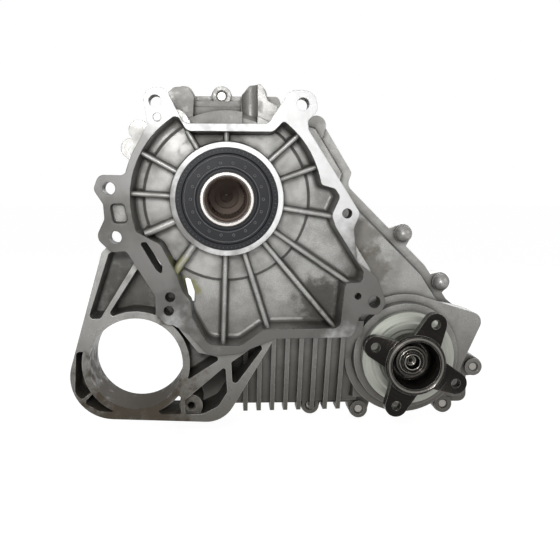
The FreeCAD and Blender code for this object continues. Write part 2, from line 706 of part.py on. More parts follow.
def hexagon(across_flats, start, end, x=0.0, z=0.0):
    radius = across_flats / math.sqrt(3)
    points = [at(x + radius * math.cos(math.radians(60 * i)), start,
                 z + radius * math.sin(math.radians(60 * i)))
              for i in range(6)]
    return Part.Face(Part.makePolygon(points + points[:1])).extrude(at(0, end - start, 0))


def rear_outside():
    rim_end = parting_y + rear_rim_thickness
    solids = [slab(base_corners, parting_y, rim_end, 0, -1)]
    solids.append(slab(base_corners, parting_y + 1, rear_wall_y, -2, -rim_width + 4))
    solids.append(taper(chamber_radius + case_wall + 2, chamber_radius + case_wall - 0.5, parting_y + 1,
                        chamber_end + case_wall))
    for index, (x, z) in enumerate(case_bolt_places):
        root_x, root_z = bolt_roots[index]
        solids.append(hull(x, z, lug_radius, root_x, root_z, lug_radius + 5, parting_y, rim_end))
    solids.append(hull(0, 0, chamber_radius + case_wall - 1, control_x, control_z, control_room + case_wall,
                       lever_y - 1.5 - case_wall, chamber_end + case_wall))
    solids.append(taper(rear_bearing_radius + 12, rear_bearing_radius + 7, chamber_end, boss_end))
    solids += [rod(7.0, chamber_end - 14, actuator_y, x, z) for x, z in actuator_screw_places]
    solids.append(rod(20.0, chamber_end, actuator_y, control_x, control_z))
    solids.append(taper(tail_bearing_radius + 11, tail_bearing_radius + 8, parting_y + 8,
                        tail_end + case_wall,
                        output_x, output_z))
    solids.append(taper(15, 13, rear_wall_y - 8, rear_wall_y + 4, *fill_place))
    solids.append(taper(15, 13, rear_wall_y - 8, rear_wall_y + 4, *drain_place))
    solids.append(rod(11, rear_wall_y - 6, rear_wall_y + 10, *breather_place))
    for angle in rear_rib_angles:
        x0, z0 = round_place(angle, rear_bearing_radius + 4)
        x1, z1 = round_place(angle, chamber_radius + 2)
        solids.append(rear_rib(x0, z0, x1, z1, chamber_end + case_wall - 1, boss_end - 6,
                               chamber_end + case_wall + 6))
    for angle in tail_rib_angles:
        x0, z0 = round_place(angle, tail_bearing_radius + 6, output_x, output_z)
        x1, z1 = round_place(angle, tail_bearing_radius + 23, output_x, output_z)
        solids.append(rear_rib(x0, z0, x1, z1, rear_wall_y - 2, tail_end + 2, rear_wall_y + 2))
    for x0, z0, x1, z1 in web_lines:
        solids.append(rear_rib(x0, z0, x1, z1, rear_wall_y - 2, rear_wall_y + 9, rear_wall_y + 6))
    return solids[0].fuse(solids[1:])


def rear_rib(x0, z0, x1, z1, foot, start_top, end_top):
    # A rib on the rear side, whose back edge falls from one height to another
    length = math.hypot(x1 - x0, z1 - z0)
    ux, uz = (x1 - x0) / length, (z1 - z0) / length
    half = rib_width / 2
    points = [at(x0 + uz * half, foot, z0 - ux * half), at(x0 + uz * half, start_top, z0 - ux * half),
              at(x1 + uz * half, end_top, z1 - ux * half), at(x1 + uz * half, foot, z1 - ux * half)]
    return Part.Face(Part.makePolygon(points + points[:1])).extrude(at(-uz * rib_width, 0, ux * rib_width))


def rear_case():
    body = rear_outside()
    hollow = rod(chamber_radius, parting_y - 1, chamber_end)
    hollow = hollow.fuse([
        slab(base_corners, parting_y - 1, rear_wall_y - case_wall, -rim_width - case_wall),
        chain_room_shape(0, parting_y - 1, rear_wall_y - case_wall),
        hull(0, 0, chamber_radius - 1, control_x, control_z, control_room, lever_y - 1.5, chamber_end),
    ])
    tail_tower = rod(tail_bearing_radius + 6, tail_bearing_y, rear_wall_y, output_x, output_z)
    hollow = hollow.cut(tail_tower)
    body = body.cut(hollow)
    holes = [
        rod(rear_bearing_radius + seat_gap, rear_bearing_y, boss_end + 1),
        rod(rear_bearing_radius + 1.5, rear_ring_y, rear_ring_y + snap_ring_width),
        rod(rear_bearing_radius - 5, chamber_end - 1, rear_bearing_y + 1),
        rod(tail_bearing_radius + seat_gap, tail_bearing_y - 0.1, tail_end + 0.1, output_x, output_z),
        rod(control_shaft_radius + 0.05, lever_y - 4, actuator_y + 1, control_x, control_z),
        rod(6.03, rear_wall_y - case_wall - 5, rear_wall_y + 14, *fill_place),
        rod(6.03, rear_wall_y - case_wall - 5, rear_wall_y + 14, *drain_place),
        rod(3.03, rear_wall_y - case_wall - 5, rear_wall_y + 14, *breather_place),
    ]
    seat = parting_y + rear_rim_thickness
    holes += [rod(case_bolt_radius + 0.4, parting_y - 1, seat + 1, x, z) for x, z in case_bolt_places]
    holes += [rod(lug_radius, seat, seat + 14, x, z) for x, z in case_bolt_places]
    holes += [rod(dowel_radius, parting_y - 1, parting_y + 7, *case_bolt_places[i]) for i in dowel_bolts]
    holes += [rod(2.48, actuator_y - 9, actuator_y + 1, x, z) for x, z in actuator_screw_places]
    return body.cut(holes)


def main_shaft():
    outside = turned([
        (0, 0), (input_radius - 1, 0), (input_radius, 1), (input_radius, bearing_lip_y + 0.1),
        (input_radius + 3, bearing_lip_y + 0.1), (input_radius + 3, pump_y - 0.4),
        (pump_shaft_radius, pump_y - 0.4),
        (pump_shaft_radius, pump_end + 0.4), (needle_seat_radius, pump_end + 0.4),
        (needle_seat_radius, drum_y + 2.5),
        (hub_seat_radius - spline_depth, drum_y + 2.5), (hub_seat_radius - spline_depth, thrust_y - 1),
        (hub_seat_radius - 3.5, thrust_y - 1), (hub_seat_radius - 3.5, chamber_end - 1.5),
        (hub_seat_radius - 1, chamber_end - 1.5), (hub_seat_radius - 1, rear_bearing_y - 0.05),
        (rear_bearing_bore, rear_bearing_y - 0.05), (rear_bearing_bore, rear_ring_y),
        (flange_seat_radius, rear_ring_y), (flange_seat_radius, rear_flange_end - 7),
        (nut_radius, rear_flange_end - 7),
        (nut_radius, shaft_end - 3), (nut_radius - 3, shaft_end), (0, shaft_end),
    ])
    bore = turned([
        (0, -1), (input_mouth_radius + input_mouth_bevel + 1, -1), (input_mouth_radius, input_mouth_bevel),
        (input_mouth_radius, input_mouth_depth), (input_bore_radius, input_mouth_depth + 2),
        (input_bore_radius, input_bore_depth), (shaft_middle_bore, input_bore_depth + 3),
        (shaft_middle_bore, shaft_middle_end), (shaft_rear_bore, shaft_middle_end + 3),
        (shaft_rear_bore, shaft_rear_end), (0, shaft_rear_end + 4),
    ])
    shaft = outside.fuse(keys(spline_count, hub_seat_radius, 4.0, spline_depth, drum_y + 4, thrust_y - 1.2))
    shaft = shaft.cut([bore, Part.makeBox(60, pump_end - pump_y + 0.8, 10, at(-30, pump_y - 0.4, pump_flat)),
                       Part.makeBox(60, pump_end - pump_y + 0.8, 10, at(-30, pump_y - 0.4, -pump_flat - 10))])
    splines = turned([
        (input_bore_radius + 0.5, input_spline_start), (input_bore_radius, input_spline_start),
        (input_bore_radius - input_spline_depth, input_spline_start + 3),
        (input_bore_radius - input_spline_depth, input_spline_end),
        (input_bore_radius + 0.5, input_spline_end),
    ])
    width = math.pi * input_bore_radius / input_spline_count
    grooves = keys(input_spline_count, input_bore_radius + 0.2, width, input_spline_depth + 0.4,
                   input_spline_start - 1, input_spline_end + 1)
    return shaft.fuse(splines.cut(grooves))


def cycloid_rotor(start, end):
    # The pump's inner rotor: the envelope of the outer rotor's round pins
    points = []
    count = 96
    shrink = pump_pin_radius + 0.12
    for i in range(count):
        t = 2 * math.pi * i / count
        turn = (1 - pump_pins) * t
        bend = math.atan2(math.sin(turn), pump_pin_circle / (pump_offset * pump_pins) - math.cos(turn))
        x = pump_pin_circle * math.cos(t) - shrink * math.cos(t + bend) - pump_offset * math.cos(pump_pins * t)
        z = pump_pin_circle * math.sin(t) - shrink * math.sin(t + bend) - pump_offset * math.sin(pump_pins * t)
        points.append(at(x, start, z))
    curve = Part.BSplineCurve()
    curve.interpolate(points, True)
    face = Part.Face(Part.Wire([curve.toShape()]))
    return face.extrude(at(0, end - start, 0))


def pump_inner_rotor():
    start = pump_y + pump_plate + 0.05
    end = start + pump_width - 0.1
    rotor = cycloid_rotor(start, end)
    bore = rod(pump_shaft_radius + seat_gap, start - 1, end + 1)
    bore = bore.common(Part.makeBox(60, 60, 2 * pump_flat + 0.1, at(-30, start - 2, -pump_flat - 0.05)))
    return rotor.cut(bore)


def pump_outer_rotor():
    start = pump_y + pump_plate + 0.05
    end = start + pump_width - 0.1
    root = pump_pin_circle - pump_pin_radius + 2 * pump_offset + 0.3
    ring = tube(pump_ring_radius, root, start, end, pump_ring_x, 0)
    pins = []
    for i in range(pump_pins):
        x, z = round_place(360.0 * i / pump_pins, pump_pin_circle, pump_ring_x, 0)
        pins.append(rod(pump_pin_radius, start, end, x, z))
    pins = pins[0].fuse(pins[1:]).common(rod(pump_ring_radius, start, end, pump_ring_x, 0))
    return ring.fuse(pins)


def pump_housing():
    body = rod(pump_radius, pump_y + 0.05, pump_end - pump_plate)
    for angle in pump_screw_angles:
        x, z = round_place(angle, pump_radius - 2)
        body = body.fuse(rod(8.0, pump_y + 0.05, pump_end - pump_plate, x, z))
    holes = [rod(pump_ring_radius + 0.08, pump_y + pump_plate, pump_end, pump_ring_x, 0),
             rod(input_radius + 4, pump_y - 1, pump_end)]
    holes += [rod(2.6, pump_y - 1, pump_end, *round_place(angle, pump_radius - 2))
              for angle in pump_screw_angles]
    return body.cut(holes)


def pump_cover():
    body = rod(pump_radius, pump_end - pump_plate + 0.03, pump_end)
    for angle in pump_screw_angles:
        x, z = round_place(angle, pump_radius - 2)
        body = body.fuse(rod(8.0, pump_end - pump_plate + 0.03, pump_end, x, z))
    holes = [rod(pump_shaft_radius + running_gap, pump_y, pump_end + 1)]
    holes += [rod(2.6, pump_y - 1, pump_end + 1, *round_place(angle, pump_radius - 2))
              for angle in pump_screw_angles]
    return body.cut(holes)


def pump_screws():
    shapes = []
    for angle in pump_screw_angles:
        x, z = round_place(angle, pump_radius - 2)
        head = rod(4.4, pump_end + 0.02, pump_end + 3.2, x, z)
        screw = head.fuse(rod(2.45, pump_y - 4.5, pump_end + 0.5, x, z))
        shapes.append(screw.cut(hexagon(3.6, pump_end + 1.2, pump_end + 4, x, z)))
    return Part.Compound(shapes)


def tooth(radius, start, end, x, z, angle):
    # One sprocket tooth that fits the notch of a chain plate
    shape = [(-4.2, radius - 6.6), (-3.7, radius - 4.5), (-1.0, radius - 0.5), (1.0, radius - 0.5),
             (3.7, radius - 4.5), (4.2, radius - 6.6)]
    c, s = math.cos(math.radians(angle)), math.sin(math.radians(angle))
    points = [at(x + c * r - s * u, start, z + s * r + c * u) for u, r in shape]
    return Part.Face(Part.makePolygon(points + points[:1])).extrude(at(0, end - start, 0))


def sprocket(bore, hub_radius, hub_start, hub_end, x, z):
    step = 360.0 / sprocket_teeth
    web = tube(pitch_radius - 5.4, bore, chain_start + 1, chain_end - 1, x, z)
    teeth = [tooth(pitch_radius, chain_start + 1, chain_end - 1, x, z, output_angle + step * (i + 0.5))
             for i in range(sprocket_teeth)]
    return web.fuse(teeth + [tube(hub_radius, bore, hub_start, hub_end, x, z)])


def chain_plate(x, z, angle, start, end):
    # A chain plate between two pins, with its back outward and its notch towards the sprocket
    shape = [(-8.6, 0.6), (-7.0, 5.2), (7.0, 5.2), (8.6, 0.6), (5.9, -4.2), (4.0, -4.2), (1.4, 0.5),
             (-1.4, 0.5), (-4.0, -4.2), (-5.9, -4.2)]
    c, s = math.cos(math.radians(angle)), math.sin(math.radians(angle))
    points = [at(x + c * v - s * u, start, z + s * v + c * u) for u, v in shape]
    return Part.Face(Part.makePolygon(points + points[:1])).extrude(at(0, end - start, 0))


def chain():
    # Plates in interleaved rows; the pins lie on the two pitch circles and on the straight runs between them
    step = 360.0 / sprocket_teeth
    pin_radius = chain_pitch / (2 * math.sin(math.radians(step / 2)))
    middle_radius = pin_radius * math.cos(math.radians(step / 2))
    straight = (chain_links - sprocket_teeth) // 2
    links = []
    for i in range(sprocket_teeth // 2):
        angle = output_angle + 90 + step * (i + 0.5)
        links.append((*round_place(angle, middle_radius), angle))
    for i in range(straight):
        x, z = round_place(output_angle, chain_pitch * (i + 0.5))
        links.append((*round_place(output_angle - 90, pin_radius, x, z), output_angle - 90))
    for i in range(sprocket_teeth // 2):
        angle = output_angle - 90 + step * (i + 0.5)
        links.append((*round_place(angle, middle_radius, output_x, output_z), angle))
    for i in range(straight):
        x, z = round_place(output_angle, centre_distance - chain_pitch * (i + 0.5))
        links.append((*round_place(output_angle + 90, pin_radius, x, z), output_angle + 90))
    plates = []
    row = chain_width / 5
    for index, (x, z, angle) in enumerate(links):
        for i in range(index % 2, 5, 2):
            start = chain_start + i * row + 0.1
            plates.append(chain_plate(x, z, angle, start, start + row - 0.2))
    return Part.Compound(plates)


def clutch_drum():
    plate = tube(drum_radius, needle_seat_radius + 9, drum_y + 0.1, drum_y + drum_wall)
    wall = tube(drum_radius, drum_radius - drum_wall, drum_y + 0.1, lever_y - 2)
    slots = keys(spline_count, drum_radius - 1.4, 8.0, drum_wall, plates_y - 1, lever_y, 15.0)
    return wall.cut(slots).fuse(plate)


def clutch_hub():
    start = drum_y + drum_wall + 1.0
    end = pressure_y - 2
    sleeve = tube(hub_seat_radius + 4, hub_seat_radius - spline_depth + seat_gap, start, end)
    sleeve = sleeve.cut(keys(spline_count, hub_seat_radius + seat_gap, 4.1, spline_depth + 1, start - 1,
                             end + 1))
    web = tube(hub_spline_radius - spline_depth, hub_seat_radius + 3, start, start + 4)
    rim = tube(hub_spline_radius - spline_depth, hub_spline_radius - spline_depth - 4, start, end)
    return sleeve.fuse([web, rim] + keys(spline_count, hub_spline_radius, 7.0, spline_depth, start, end))


def steel_plates():
    shapes = []
    for i in range(plate_count + 1):
        start = plates_y + i * plate_step
        disc = tube(drum_radius - drum_wall - 0.4, hub_spline_radius + 1.0, start, start + steel_plate)
        tabs = keys(spline_count, drum_radius - 1.7, 7.4, drum_wall + 1, start, start + steel_plate, 15.0)
        shapes.append(disc.fuse(tabs))
    return Part.Compound(shapes)


def friction_plates():
    shapes = []
    for i in range(plate_count):
        start = plates_y + i * plate_step + steel_plate + plate_gap
        disc = tube(drum_radius - drum_wall - 2, hub_spline_radius + 0.3, start, start + friction_plate)
        end = start + friction_plate
        bore = tube(hub_spline_radius + 1, hub_spline_radius - spline_depth + 0.3, start, end)
        notches = keys(spline_count, hub_spline_radius + 0.3, 7.6, spline_depth + 1, start - 1, end + 1)
        shapes.append(disc.fuse(bore.cut(notches)))
    return Part.Compound(shapes)


def pressure_plate():
    disc = tube(drum_radius - drum_wall - 0.4, hub_seat_radius + 6, pressure_y,
                pressure_y + pressure_thickness)
    return disc.fuse(keys(spline_count, drum_radius - 1.7, 7.4, drum_wall + 1, pressure_y,
                          pressure_y + pressure_thickness, 15.0))


def thrust_bearing():
    # Two washers and the flat needle cage between them
    start = thrust_y + 0.15
    end = thrust_y + thrust_thickness
    washers = [tube(lever_radius - 4, hub_seat_radius + 8, start, start + 1.0),
               tube(lever_radius - 4, hub_seat_radius + 8, end - 1.0, end)]
    cage = tube(lever_radius - 5, hub_seat_radius + 9, start + 1.0, end - 1.0)
    return washers[0].fuse(washers + [cage]).removeSplitter()


def ramp_grooves(face_y, side):
    # Ball grooves whose floors climb as the two rings turn against each other
    reach = math.radians(lever_travel) * ball_circle
    lean = math.degrees(math.atan2(clutch_travel / 2, reach)) * side
    shapes = []
    for i in range(ball_count):
        x = ball_circle
        groove = Part.makeCylinder(ball_radius + 0.3, 2 * reach + 2, at(x, ball_y, -reach - 1), at(0, 0, 1))
        ends = [Part.makeSphere(ball_radius + 0.3, at(x, ball_y, sign * (reach + 1))) for sign in (-1, 1)]
        groove = groove.fuse(ends)
        groove.rotate(at(x, ball_y, 0), at(1, 0, 0), lean)
        groove.rotate(at(0, 0, 0), at(0, 1, 0), 360.0 * i / ball_count + 20)
        shapes.append(groove)
    return shapes


def ramp_balls():
    shapes = []
    for i in range(ball_count):
        x, z = round_place(-(360.0 * i / ball_count + 20), ball_circle)
        shapes.append(Part.makeSphere(ball_radius, at(x, ball_y, z)))
    return Part.Compound(shapes)


def roller_place(side):
    # Centre of a lever's roller beside the cam; side +1 is ahead, -1 behind
    c, s = math.cos(math.radians(control_angle)), math.sin(math.radians(control_angle))
    offset = side * (cam_radius + roller_radius + running_gap)
    return (control_x - s * offset, control_z + c * offset)


def lever(start, arm_start, arm_end, side, groove_side):
    ring = tube(lever_radius, hub_seat_radius + 1.5, start, start + lever_thickness)
    x, z = roller_place(side)
    root_x, root_z = round_place(control_angle + side * 12, lever_radius - 8)
    arm = hull(root_x, root_z, 12.0, x, z, 6.0, arm_start, arm_end)
    pin_start = min(arm_start, cam_y - cam_width / 2)
    pin_end = max(arm_end, cam_y + cam_width / 2)
    pin = rod(3.0, pin_start, pin_end, x, z)
    ring = ring.fuse([arm, pin])
    clear = rod(hub_seat_radius + 1.5, start - 1, start + lever_thickness + 1)
    return ring.cut(ramp_grooves(start, groove_side) + [clear])


def lever_roller(side):
    x, z = roller_place(side)
    return tube(roller_radius, 3.0 + seat_gap, cam_y - cam_width / 2 + 0.1, cam_y + cam_width / 2 - 0.1, x, z)


def cam_flank(side, start):
    # One flank of the cam, worked out from the path of the roller that runs on it
    points = []
    steps = 12
    for i in range(steps + 1):
        turn = -6 + i * (cam_travel + 12) / steps
        places = []
        for shift in (0.0, 0.05):
            x, z = roller_place(side)
            swing = side * math.radians((turn + shift) * lever_travel / cam_travel)
            angle = math.atan2(z, x) + swing
            radius = math.hypot(x, z)
            rx, rz = radius * math.cos(angle) - control_x, radius * math.sin(angle) - control_z
            back = -math.radians(turn + shift)
            places.append((rx * math.cos(back) - rz * math.sin(back),
                           rx * math.sin(back) + rz * math.cos(back)))
        (ax, az), (bx, bz) = places
        length = math.hypot(bx - ax, bz - az)
        nx, nz = (bz - az) / length, -(bx - ax) / length
        if nx * ax + nz * az > 0:
            nx, nz = -nx, -nz
        reach = roller_radius + running_gap
        points.append(at(control_x + ax + nx * reach, start, control_z + az + nz * reach))
    curve = Part.BSplineCurve()
    curve.interpolate(points)
    return curve


def cam_disc():
    # A spiral flank for each lever, joined by two straight lines
    start = cam_y - cam_width / 2
    ahead = cam_flank(1, start)
    behind = cam_flank(-1, start)
    edges = [ahead.toShape(), Part.LineSegment(ahead.EndPoint, behind.StartPoint).toShape(), behind.toShape(),
             Part.LineSegment(behind.EndPoint, ahead.StartPoint).toShape()]
    disc = Part.Face(Part.Wire(edges)).extrude(at(0, cam_width, 0))
    return disc.cut(rod(control_shaft_radius + seat_gap, start - 1, start + cam_width + 1, control_x,
                        control_z))


def control_shaft():
    return turned([
        (0, lever_y - 3.5), (control_shaft_radius - 1, lever_y - 3.5), (control_shaft_radius, lever_y - 2.5),
        (control_shaft_radius, wheel_y + wheel_width + 1.5),
        (control_shaft_radius - 1, wheel_y + wheel_width + 2.5),
        (0, wheel_y + wheel_width + 2.5),
    ], control_x, control_z)


def actuator_wheel():
    # Wheel with narrow straight teeth on a hub
    root = wheel_radius - 1.2 * wheel_module
    body = rod(root, wheel_y, wheel_y + wheel_width, control_x, control_z)
    shapes = []
    for i in range(wheel_teeth):
        angle = math.radians(360.0 * (i + 0.5) / wheel_teeth + 90)
        c, s = math.cos(angle), math.sin(angle)
        shape = [(-0.75, root - 0.3), (-0.28, wheel_radius + 0.9 * wheel_module),
                 (0.28, wheel_radius + 0.9 * wheel_module), (0.75, root - 0.3)]
        points = [at(control_x + c * r - s * u, wheel_y, control_z + s * r + c * u) for u, r in shape]
        shapes.append(Part.Face(Part.makePolygon(points + points[:1])).extrude(at(0, wheel_width, 0)))
    body = body.fuse(shapes)
    bore = rod(control_shaft_radius + seat_gap, wheel_y - 1, wheel_y + wheel_width + 1, control_x, control_z)
    return turned_to_actuator(body.cut(bore))


def along_x(radius, start, end, y, z):
    return Part.makeCylinder(radius, end - start, at(start, y, z), at(1, 0, 0))


def turned_to_actuator(shape):
    # Turns what was drawn upright about the control shaft to the actuator's place
    shape.rotate(at(control_x, 0, control_z), at(0, 1, 0), actuator_turn)
    return shape


def worm():
    # The motor's shaft with one helical thread, whose turns pass the wheel's gaps
    core = along_x(worm_root, worm_start, worm_end, motor_y, worm_z)
    core = core.fuse(along_x(3.0, worm_start - 6, worm_end + 8, motor_y, worm_z))
    lead = math.pi * wheel_module
    path = Part.makeHelix(lead, lead * 2 * worm_half_turns, worm_root - 0.2)
    half_foot, half_tip, tip = 0.95, 0.35, worm_radius + 0.9 * wheel_module
    corners = [FreeCAD.Vector(worm_root - 0.2, 0, -half_foot), FreeCAD.Vector(tip, 0, -half_tip),
               FreeCAD.Vector(tip, 0, half_tip), FreeCAD.Vector(worm_root - 0.2, 0, half_foot)]
    section = Part.makePolygon(corners + corners[:1])
    thread = Part.Wire(path.Edges).makePipeShell([section], True, True)
    thread.rotate(FreeCAD.Vector(0, 0, 0), at(0, 1, 0), 90)
    thread.translate(at(control_x - lead * worm_half_turns, motor_y, worm_z))
    return turned_to_actuator(core.fuse(thread))


def actuator_housing():
    seat = actuator_y + seat_gap
    neck_top = actuator_y + 12
    length = worm_end - worm_start + 18
    drawn = rod(wheel_radius + 8, neck_top, actuator_end, control_x, control_z)
    corner = at(worm_start - 9, neck_top, worm_z - worm_radius - 5)
    drawn = drawn.fuse([
        Part.makeBox(length, actuator_end - neck_top, 2 * worm_radius + 10, corner),
        along_x(motor_radius + 2, worm_end + 3, worm_end + 9, motor_y, worm_z),
    ])
    drawn = drawn.cut([
        along_x(worm_radius + 1.6, worm_start - 1, worm_end + 1, motor_y, worm_z),
        along_x(3.05, worm_start - 7, worm_end + 10, motor_y, worm_z),
    ])
    body = turned_to_actuator(drawn)
    foot = [hull(control_x, control_z, 20.0, x, z, 7.0, seat, actuator_y + 5)
            for x, z in actuator_screw_places]
    body = body.fuse(foot + [rod(17, seat, neck_top + 1, control_x, control_z)])
    holes = [
        rod(wheel_radius + 2.2, wheel_y - 1.5, actuator_end + 1, control_x, control_z),
        rod(control_shaft_radius + 0.05, actuator_y - 2, wheel_y, control_x, control_z),
    ]
    holes += [rod(2.6, actuator_y - 3, actuator_y + 7, x, z) for x, z in actuator_screw_places]
    return body.cut(holes)


def actuator_cover():
    start = actuator_end + seat_gap
    body = rod(wheel_radius + 8, start, actuator_end + 2.5, control_x, control_z)
    box = Part.makeBox(worm_end - worm_start + 11.9, 2.5 - seat_gap, 2 * worm_radius + 10,
                       at(worm_start - 9, start, worm_z - worm_radius - 5))
    dome = taper(wheel_radius + 2, wheel_radius - 2, actuator_end + 2, actuator_end + 4.5, control_x,
                 control_z)
    room = along_x(motor_radius + 2.2, worm_end + 2.9, worm_end + 10, motor_y, worm_z)
    return turned_to_actuator(body.fuse([box, dome]).cut(room))


def motor_can():
    start = worm_end + 9.03
    can = along_x(motor_radius, start, start + motor_length - 4, motor_y, worm_z).fuse([
        Part.makeCone(motor_radius, motor_radius - 3, 3, at(start + motor_length - 4, motor_y, worm_z),
                      at(1, 0, 0)),
        along_x(6.0, start + motor_length - 2, start + motor_length + 3, motor_y, worm_z)])
    return turned_to_actuator(can)


def motor_connector():
    x = worm_start - 9
    y = actuator_y + 14
    body = Part.makeBox(18, 14, 12, at(x - 18.03, y, worm_z - 6))
    return turned_to_actuator(body.cut(Part.makeBox(14, 10, 8, at(x - 19, y + 2, worm_z - 4))))


def actuator_screws():
    shapes = []
    for x, z in actuator_screw_places:
        top = actuator_y + 5.03
        screw = rod(4.3, top, top + 4, x, z).fuse(rod(2.45, actuator_y - 8.5, top + 0.5, x, z))
        shapes.append(screw.cut(hexagon(3.6, top + 1.5, top + 5, x, z)))
    return Part.Compound(shapes)


def flange_arms(radius, tip, start, end, angles, x, z, hub, root):
    # Arms that widen into the hub and end in round tips
    shapes = []
    for angle in angles:
        root_x, root_z = round_place(angle, hub * 0.5, x, z)
        tip_x, tip_z = round_place(angle, radius, x, z)
        shapes.append(hull(root_x, root_z, root, tip_x, tip_z, tip, start, end))
    return shapes[0].fuse(shapes[1:])


def rear_output_flange():
    hub = rod(rear_hub_radius, rear_ring_y + snap_ring_width + 0.3, rear_flange_end)
    arms = flange_arms(rear_bolt_circle / 2, 11.0, rear_flange_y, rear_flange_end, (90, 210, 330), 0, 0, 30,
                       19.0)
    body = hub.fuse([arms, rod(rear_hub_radius + 6, rear_flange_y - 2, rear_flange_end)])
    holes = [rod(rear_bolt_radius, rear_flange_y - 1, rear_flange_end + 1,
                 *round_place(angle, rear_bolt_circle / 2))
             for angle in (90, 210, 330)]
    holes.append(rod(flange_seat_radius + seat_gap, rear_ring_y, rear_flange_end + 1))
    holes.append(rod(rear_hub_radius - 3, rear_flange_end - 6.9, rear_flange_end + 1))
    return body.cut(holes)


def rear_flange_nut():
    start = rear_flange_end - 6.8
    return hexagon(34.0, start, start + 10).common(taper(20.5, 17.0, start, start + 10.5)).cut(
        rod(nut_radius + seat_gap, start - 1, start + 12))


def front_output_flange():
    face = output_flange_face
    arms = flange_arms(output_bolt_circle / 2, 10.6, face + 1.5, face + arm_thickness, arm_angles, output_x,
                       output_z,
                      output_hub_outer, 15.5)
    hub = turned([
        (0, face), (output_hub_outer - 1.2, face), (output_hub_outer, face + 1.2),
        (output_hub_outer, face + 16),
        (output_hub_radius + 2, face + 22), (output_hub_radius, face + 23),
        (output_hub_radius, output_bearing_y - 0.1),
        (0, output_bearing_y - 0.1),
    ], output_x, output_z)
    bore = turned([
        (0, face - 1), (output_hub_outer - 5, face - 1), (output_hub_outer - 7.5, face + 2.5),
        (output_hub_outer - 8.5, nut_seat_y), (output_spline_radius + seat_gap, nut_seat_y),
        (output_spline_radius + seat_gap, output_bearing_y + 1), (0, output_bearing_y + 1),
    ], output_x, output_z)
    holes = [rod(output_bolt_radius, face - 1, face + arm_thickness + 1,
                 *round_place(angle, output_bolt_circle / 2, output_x, output_z)) for angle in arm_angles]
    return arms.fuse(hub).cut([bore] + holes)


def output_flange_nut():
    end = nut_seat_y - 0.03
    nut = hexagon(30.0, end - 8, end, output_x, output_z)
    nut = nut.common(taper(15.0, 18.0, end - 8.5, end - 3, output_x, output_z).fuse(
        rod(18.0, end - 3.5, end, output_x, output_z)))
    return nut.cut(rod(output_thread_radius + seat_gap, end - 9, end + 1, output_x, output_z))


def front_output_shaft():
    end = nut_seat_y - 11
    bearing_end = output_bearing_y + output_bearing_width
    return turned([
        (0, end + 9), (shaft_cup_radius - 2, end + 7), (shaft_cup_radius, end),
        (output_thread_radius - 0.8, end),
        (output_thread_radius, end + 0.8), (output_thread_radius, nut_seat_y + 1),
        (output_spline_radius, nut_seat_y + 1),
        (output_spline_radius, output_bearing_y - 0.1), (output_bearing_bore, output_bearing_y - 0.1),
        (output_bearing_bore, bearing_end), (output_shoulder_radius, bearing_end),
        (output_shoulder_radius, chain_start - 1.5), (output_sprocket_seat, chain_start - 1.5),
        (output_sprocket_seat, chain_end + 1), (tail_bearing_bore + 2.5, chain_end + 1),
        (tail_bearing_bore + 2.5, tail_bearing_y - 0.05), (tail_bearing_bore, tail_bearing_y - 0.05),
        (tail_bearing_bore, tail_end - 1), (0, tail_end - 1),
    ], output_x, output_z)


def dust_shield():
    # Pressed disc with raised rings, fixed on the flange's neck
    y = shield_y
    bore = output_hub_radius + seat_gap
    return turned([
        (bore, y - 4), (bore + 1.6, y - 4), (bore + 1.6, y - 1.6), (28.0, y - 1.6), (30.0, y - 3.4),
        (35.0, y - 3.4),
        (37.0, y - 1.4), (shield_radius - 3, y - 0.6), (shield_radius, y + 1.0), (shield_radius, y + 8),
        (shield_radius - 1.4, y + 8), (shield_radius - 1.4, y + 1.8), (37.0, y + 0.2), (35.0, y - 2.0),
        (30.0, y - 2.0), (28.0, y), (bore, y),
    ], output_x, output_z)


def rear_dust_shield():
    # Pressed cap on the flange's hub, whose rim reaches over the end of the casting
    y = boss_end + 1.2
    bore = rear_hub_radius + seat_gap
    rim = rear_bearing_radius + 9.5
    return turned([
        (bore, y), (bore, y + 2.4), (bore + 1.4, y + 2.4), (bore + 1.4, y + 1.4), (rim - 2, y + 1.4),
        (rim, y - 0.4),
        (rim, y - 5), (rim - 1.3, y - 5), (rim - 1.3, y - 0.8), (rim - 2.4, y),
    ])


def case_bolts():
    shapes = []
    seat = parting_y + rear_rim_thickness + 0.03
    for x, z in case_bolt_places:
        bolt = rod(case_bolt_radius - seat_gap, seat - case_bolt_length, seat + 1, x, z)
        shapes.append(bolt.fuse([rod(8.2, seat, seat + 1.6, x, z), hexagon(13.0, seat + 1, seat + 8, x, z)]))
    return Part.Compound(shapes)


def case_dowels():
    # Hollow dowels around two of the case bolts
    start, end = parting_y - 7.5, parting_y + 6.5
    return Part.Compound([tube(dowel_radius - seat_gap, case_bolt_radius + 0.4, start, end,
                               *case_bolt_places[i])
                          for i in dowel_bolts])


def plug(place, length):
    x, z = place
    seat = rear_wall_y + 4.03
    body = rod(6.0, rear_wall_y - 4, seat + 1, x, z).fuse(taper(10.0, 9.4, seat, seat + length, x, z))
    return body.cut(hexagon(8.0, seat + 1.5, seat + length + 1, x, z))


def breather():
    x, z = breather_place
    seat = rear_wall_y + 10.03
    stem = rod(3.0, seat - 10, seat + 1, x, z)
    return stem.fuse([hexagon(10.0, seat, seat + 4, x, z), rod(3.5, seat + 3, seat + 8, x, z),
                      taper(6.0, 5.2, seat + 7, seat + 11, x, z)])


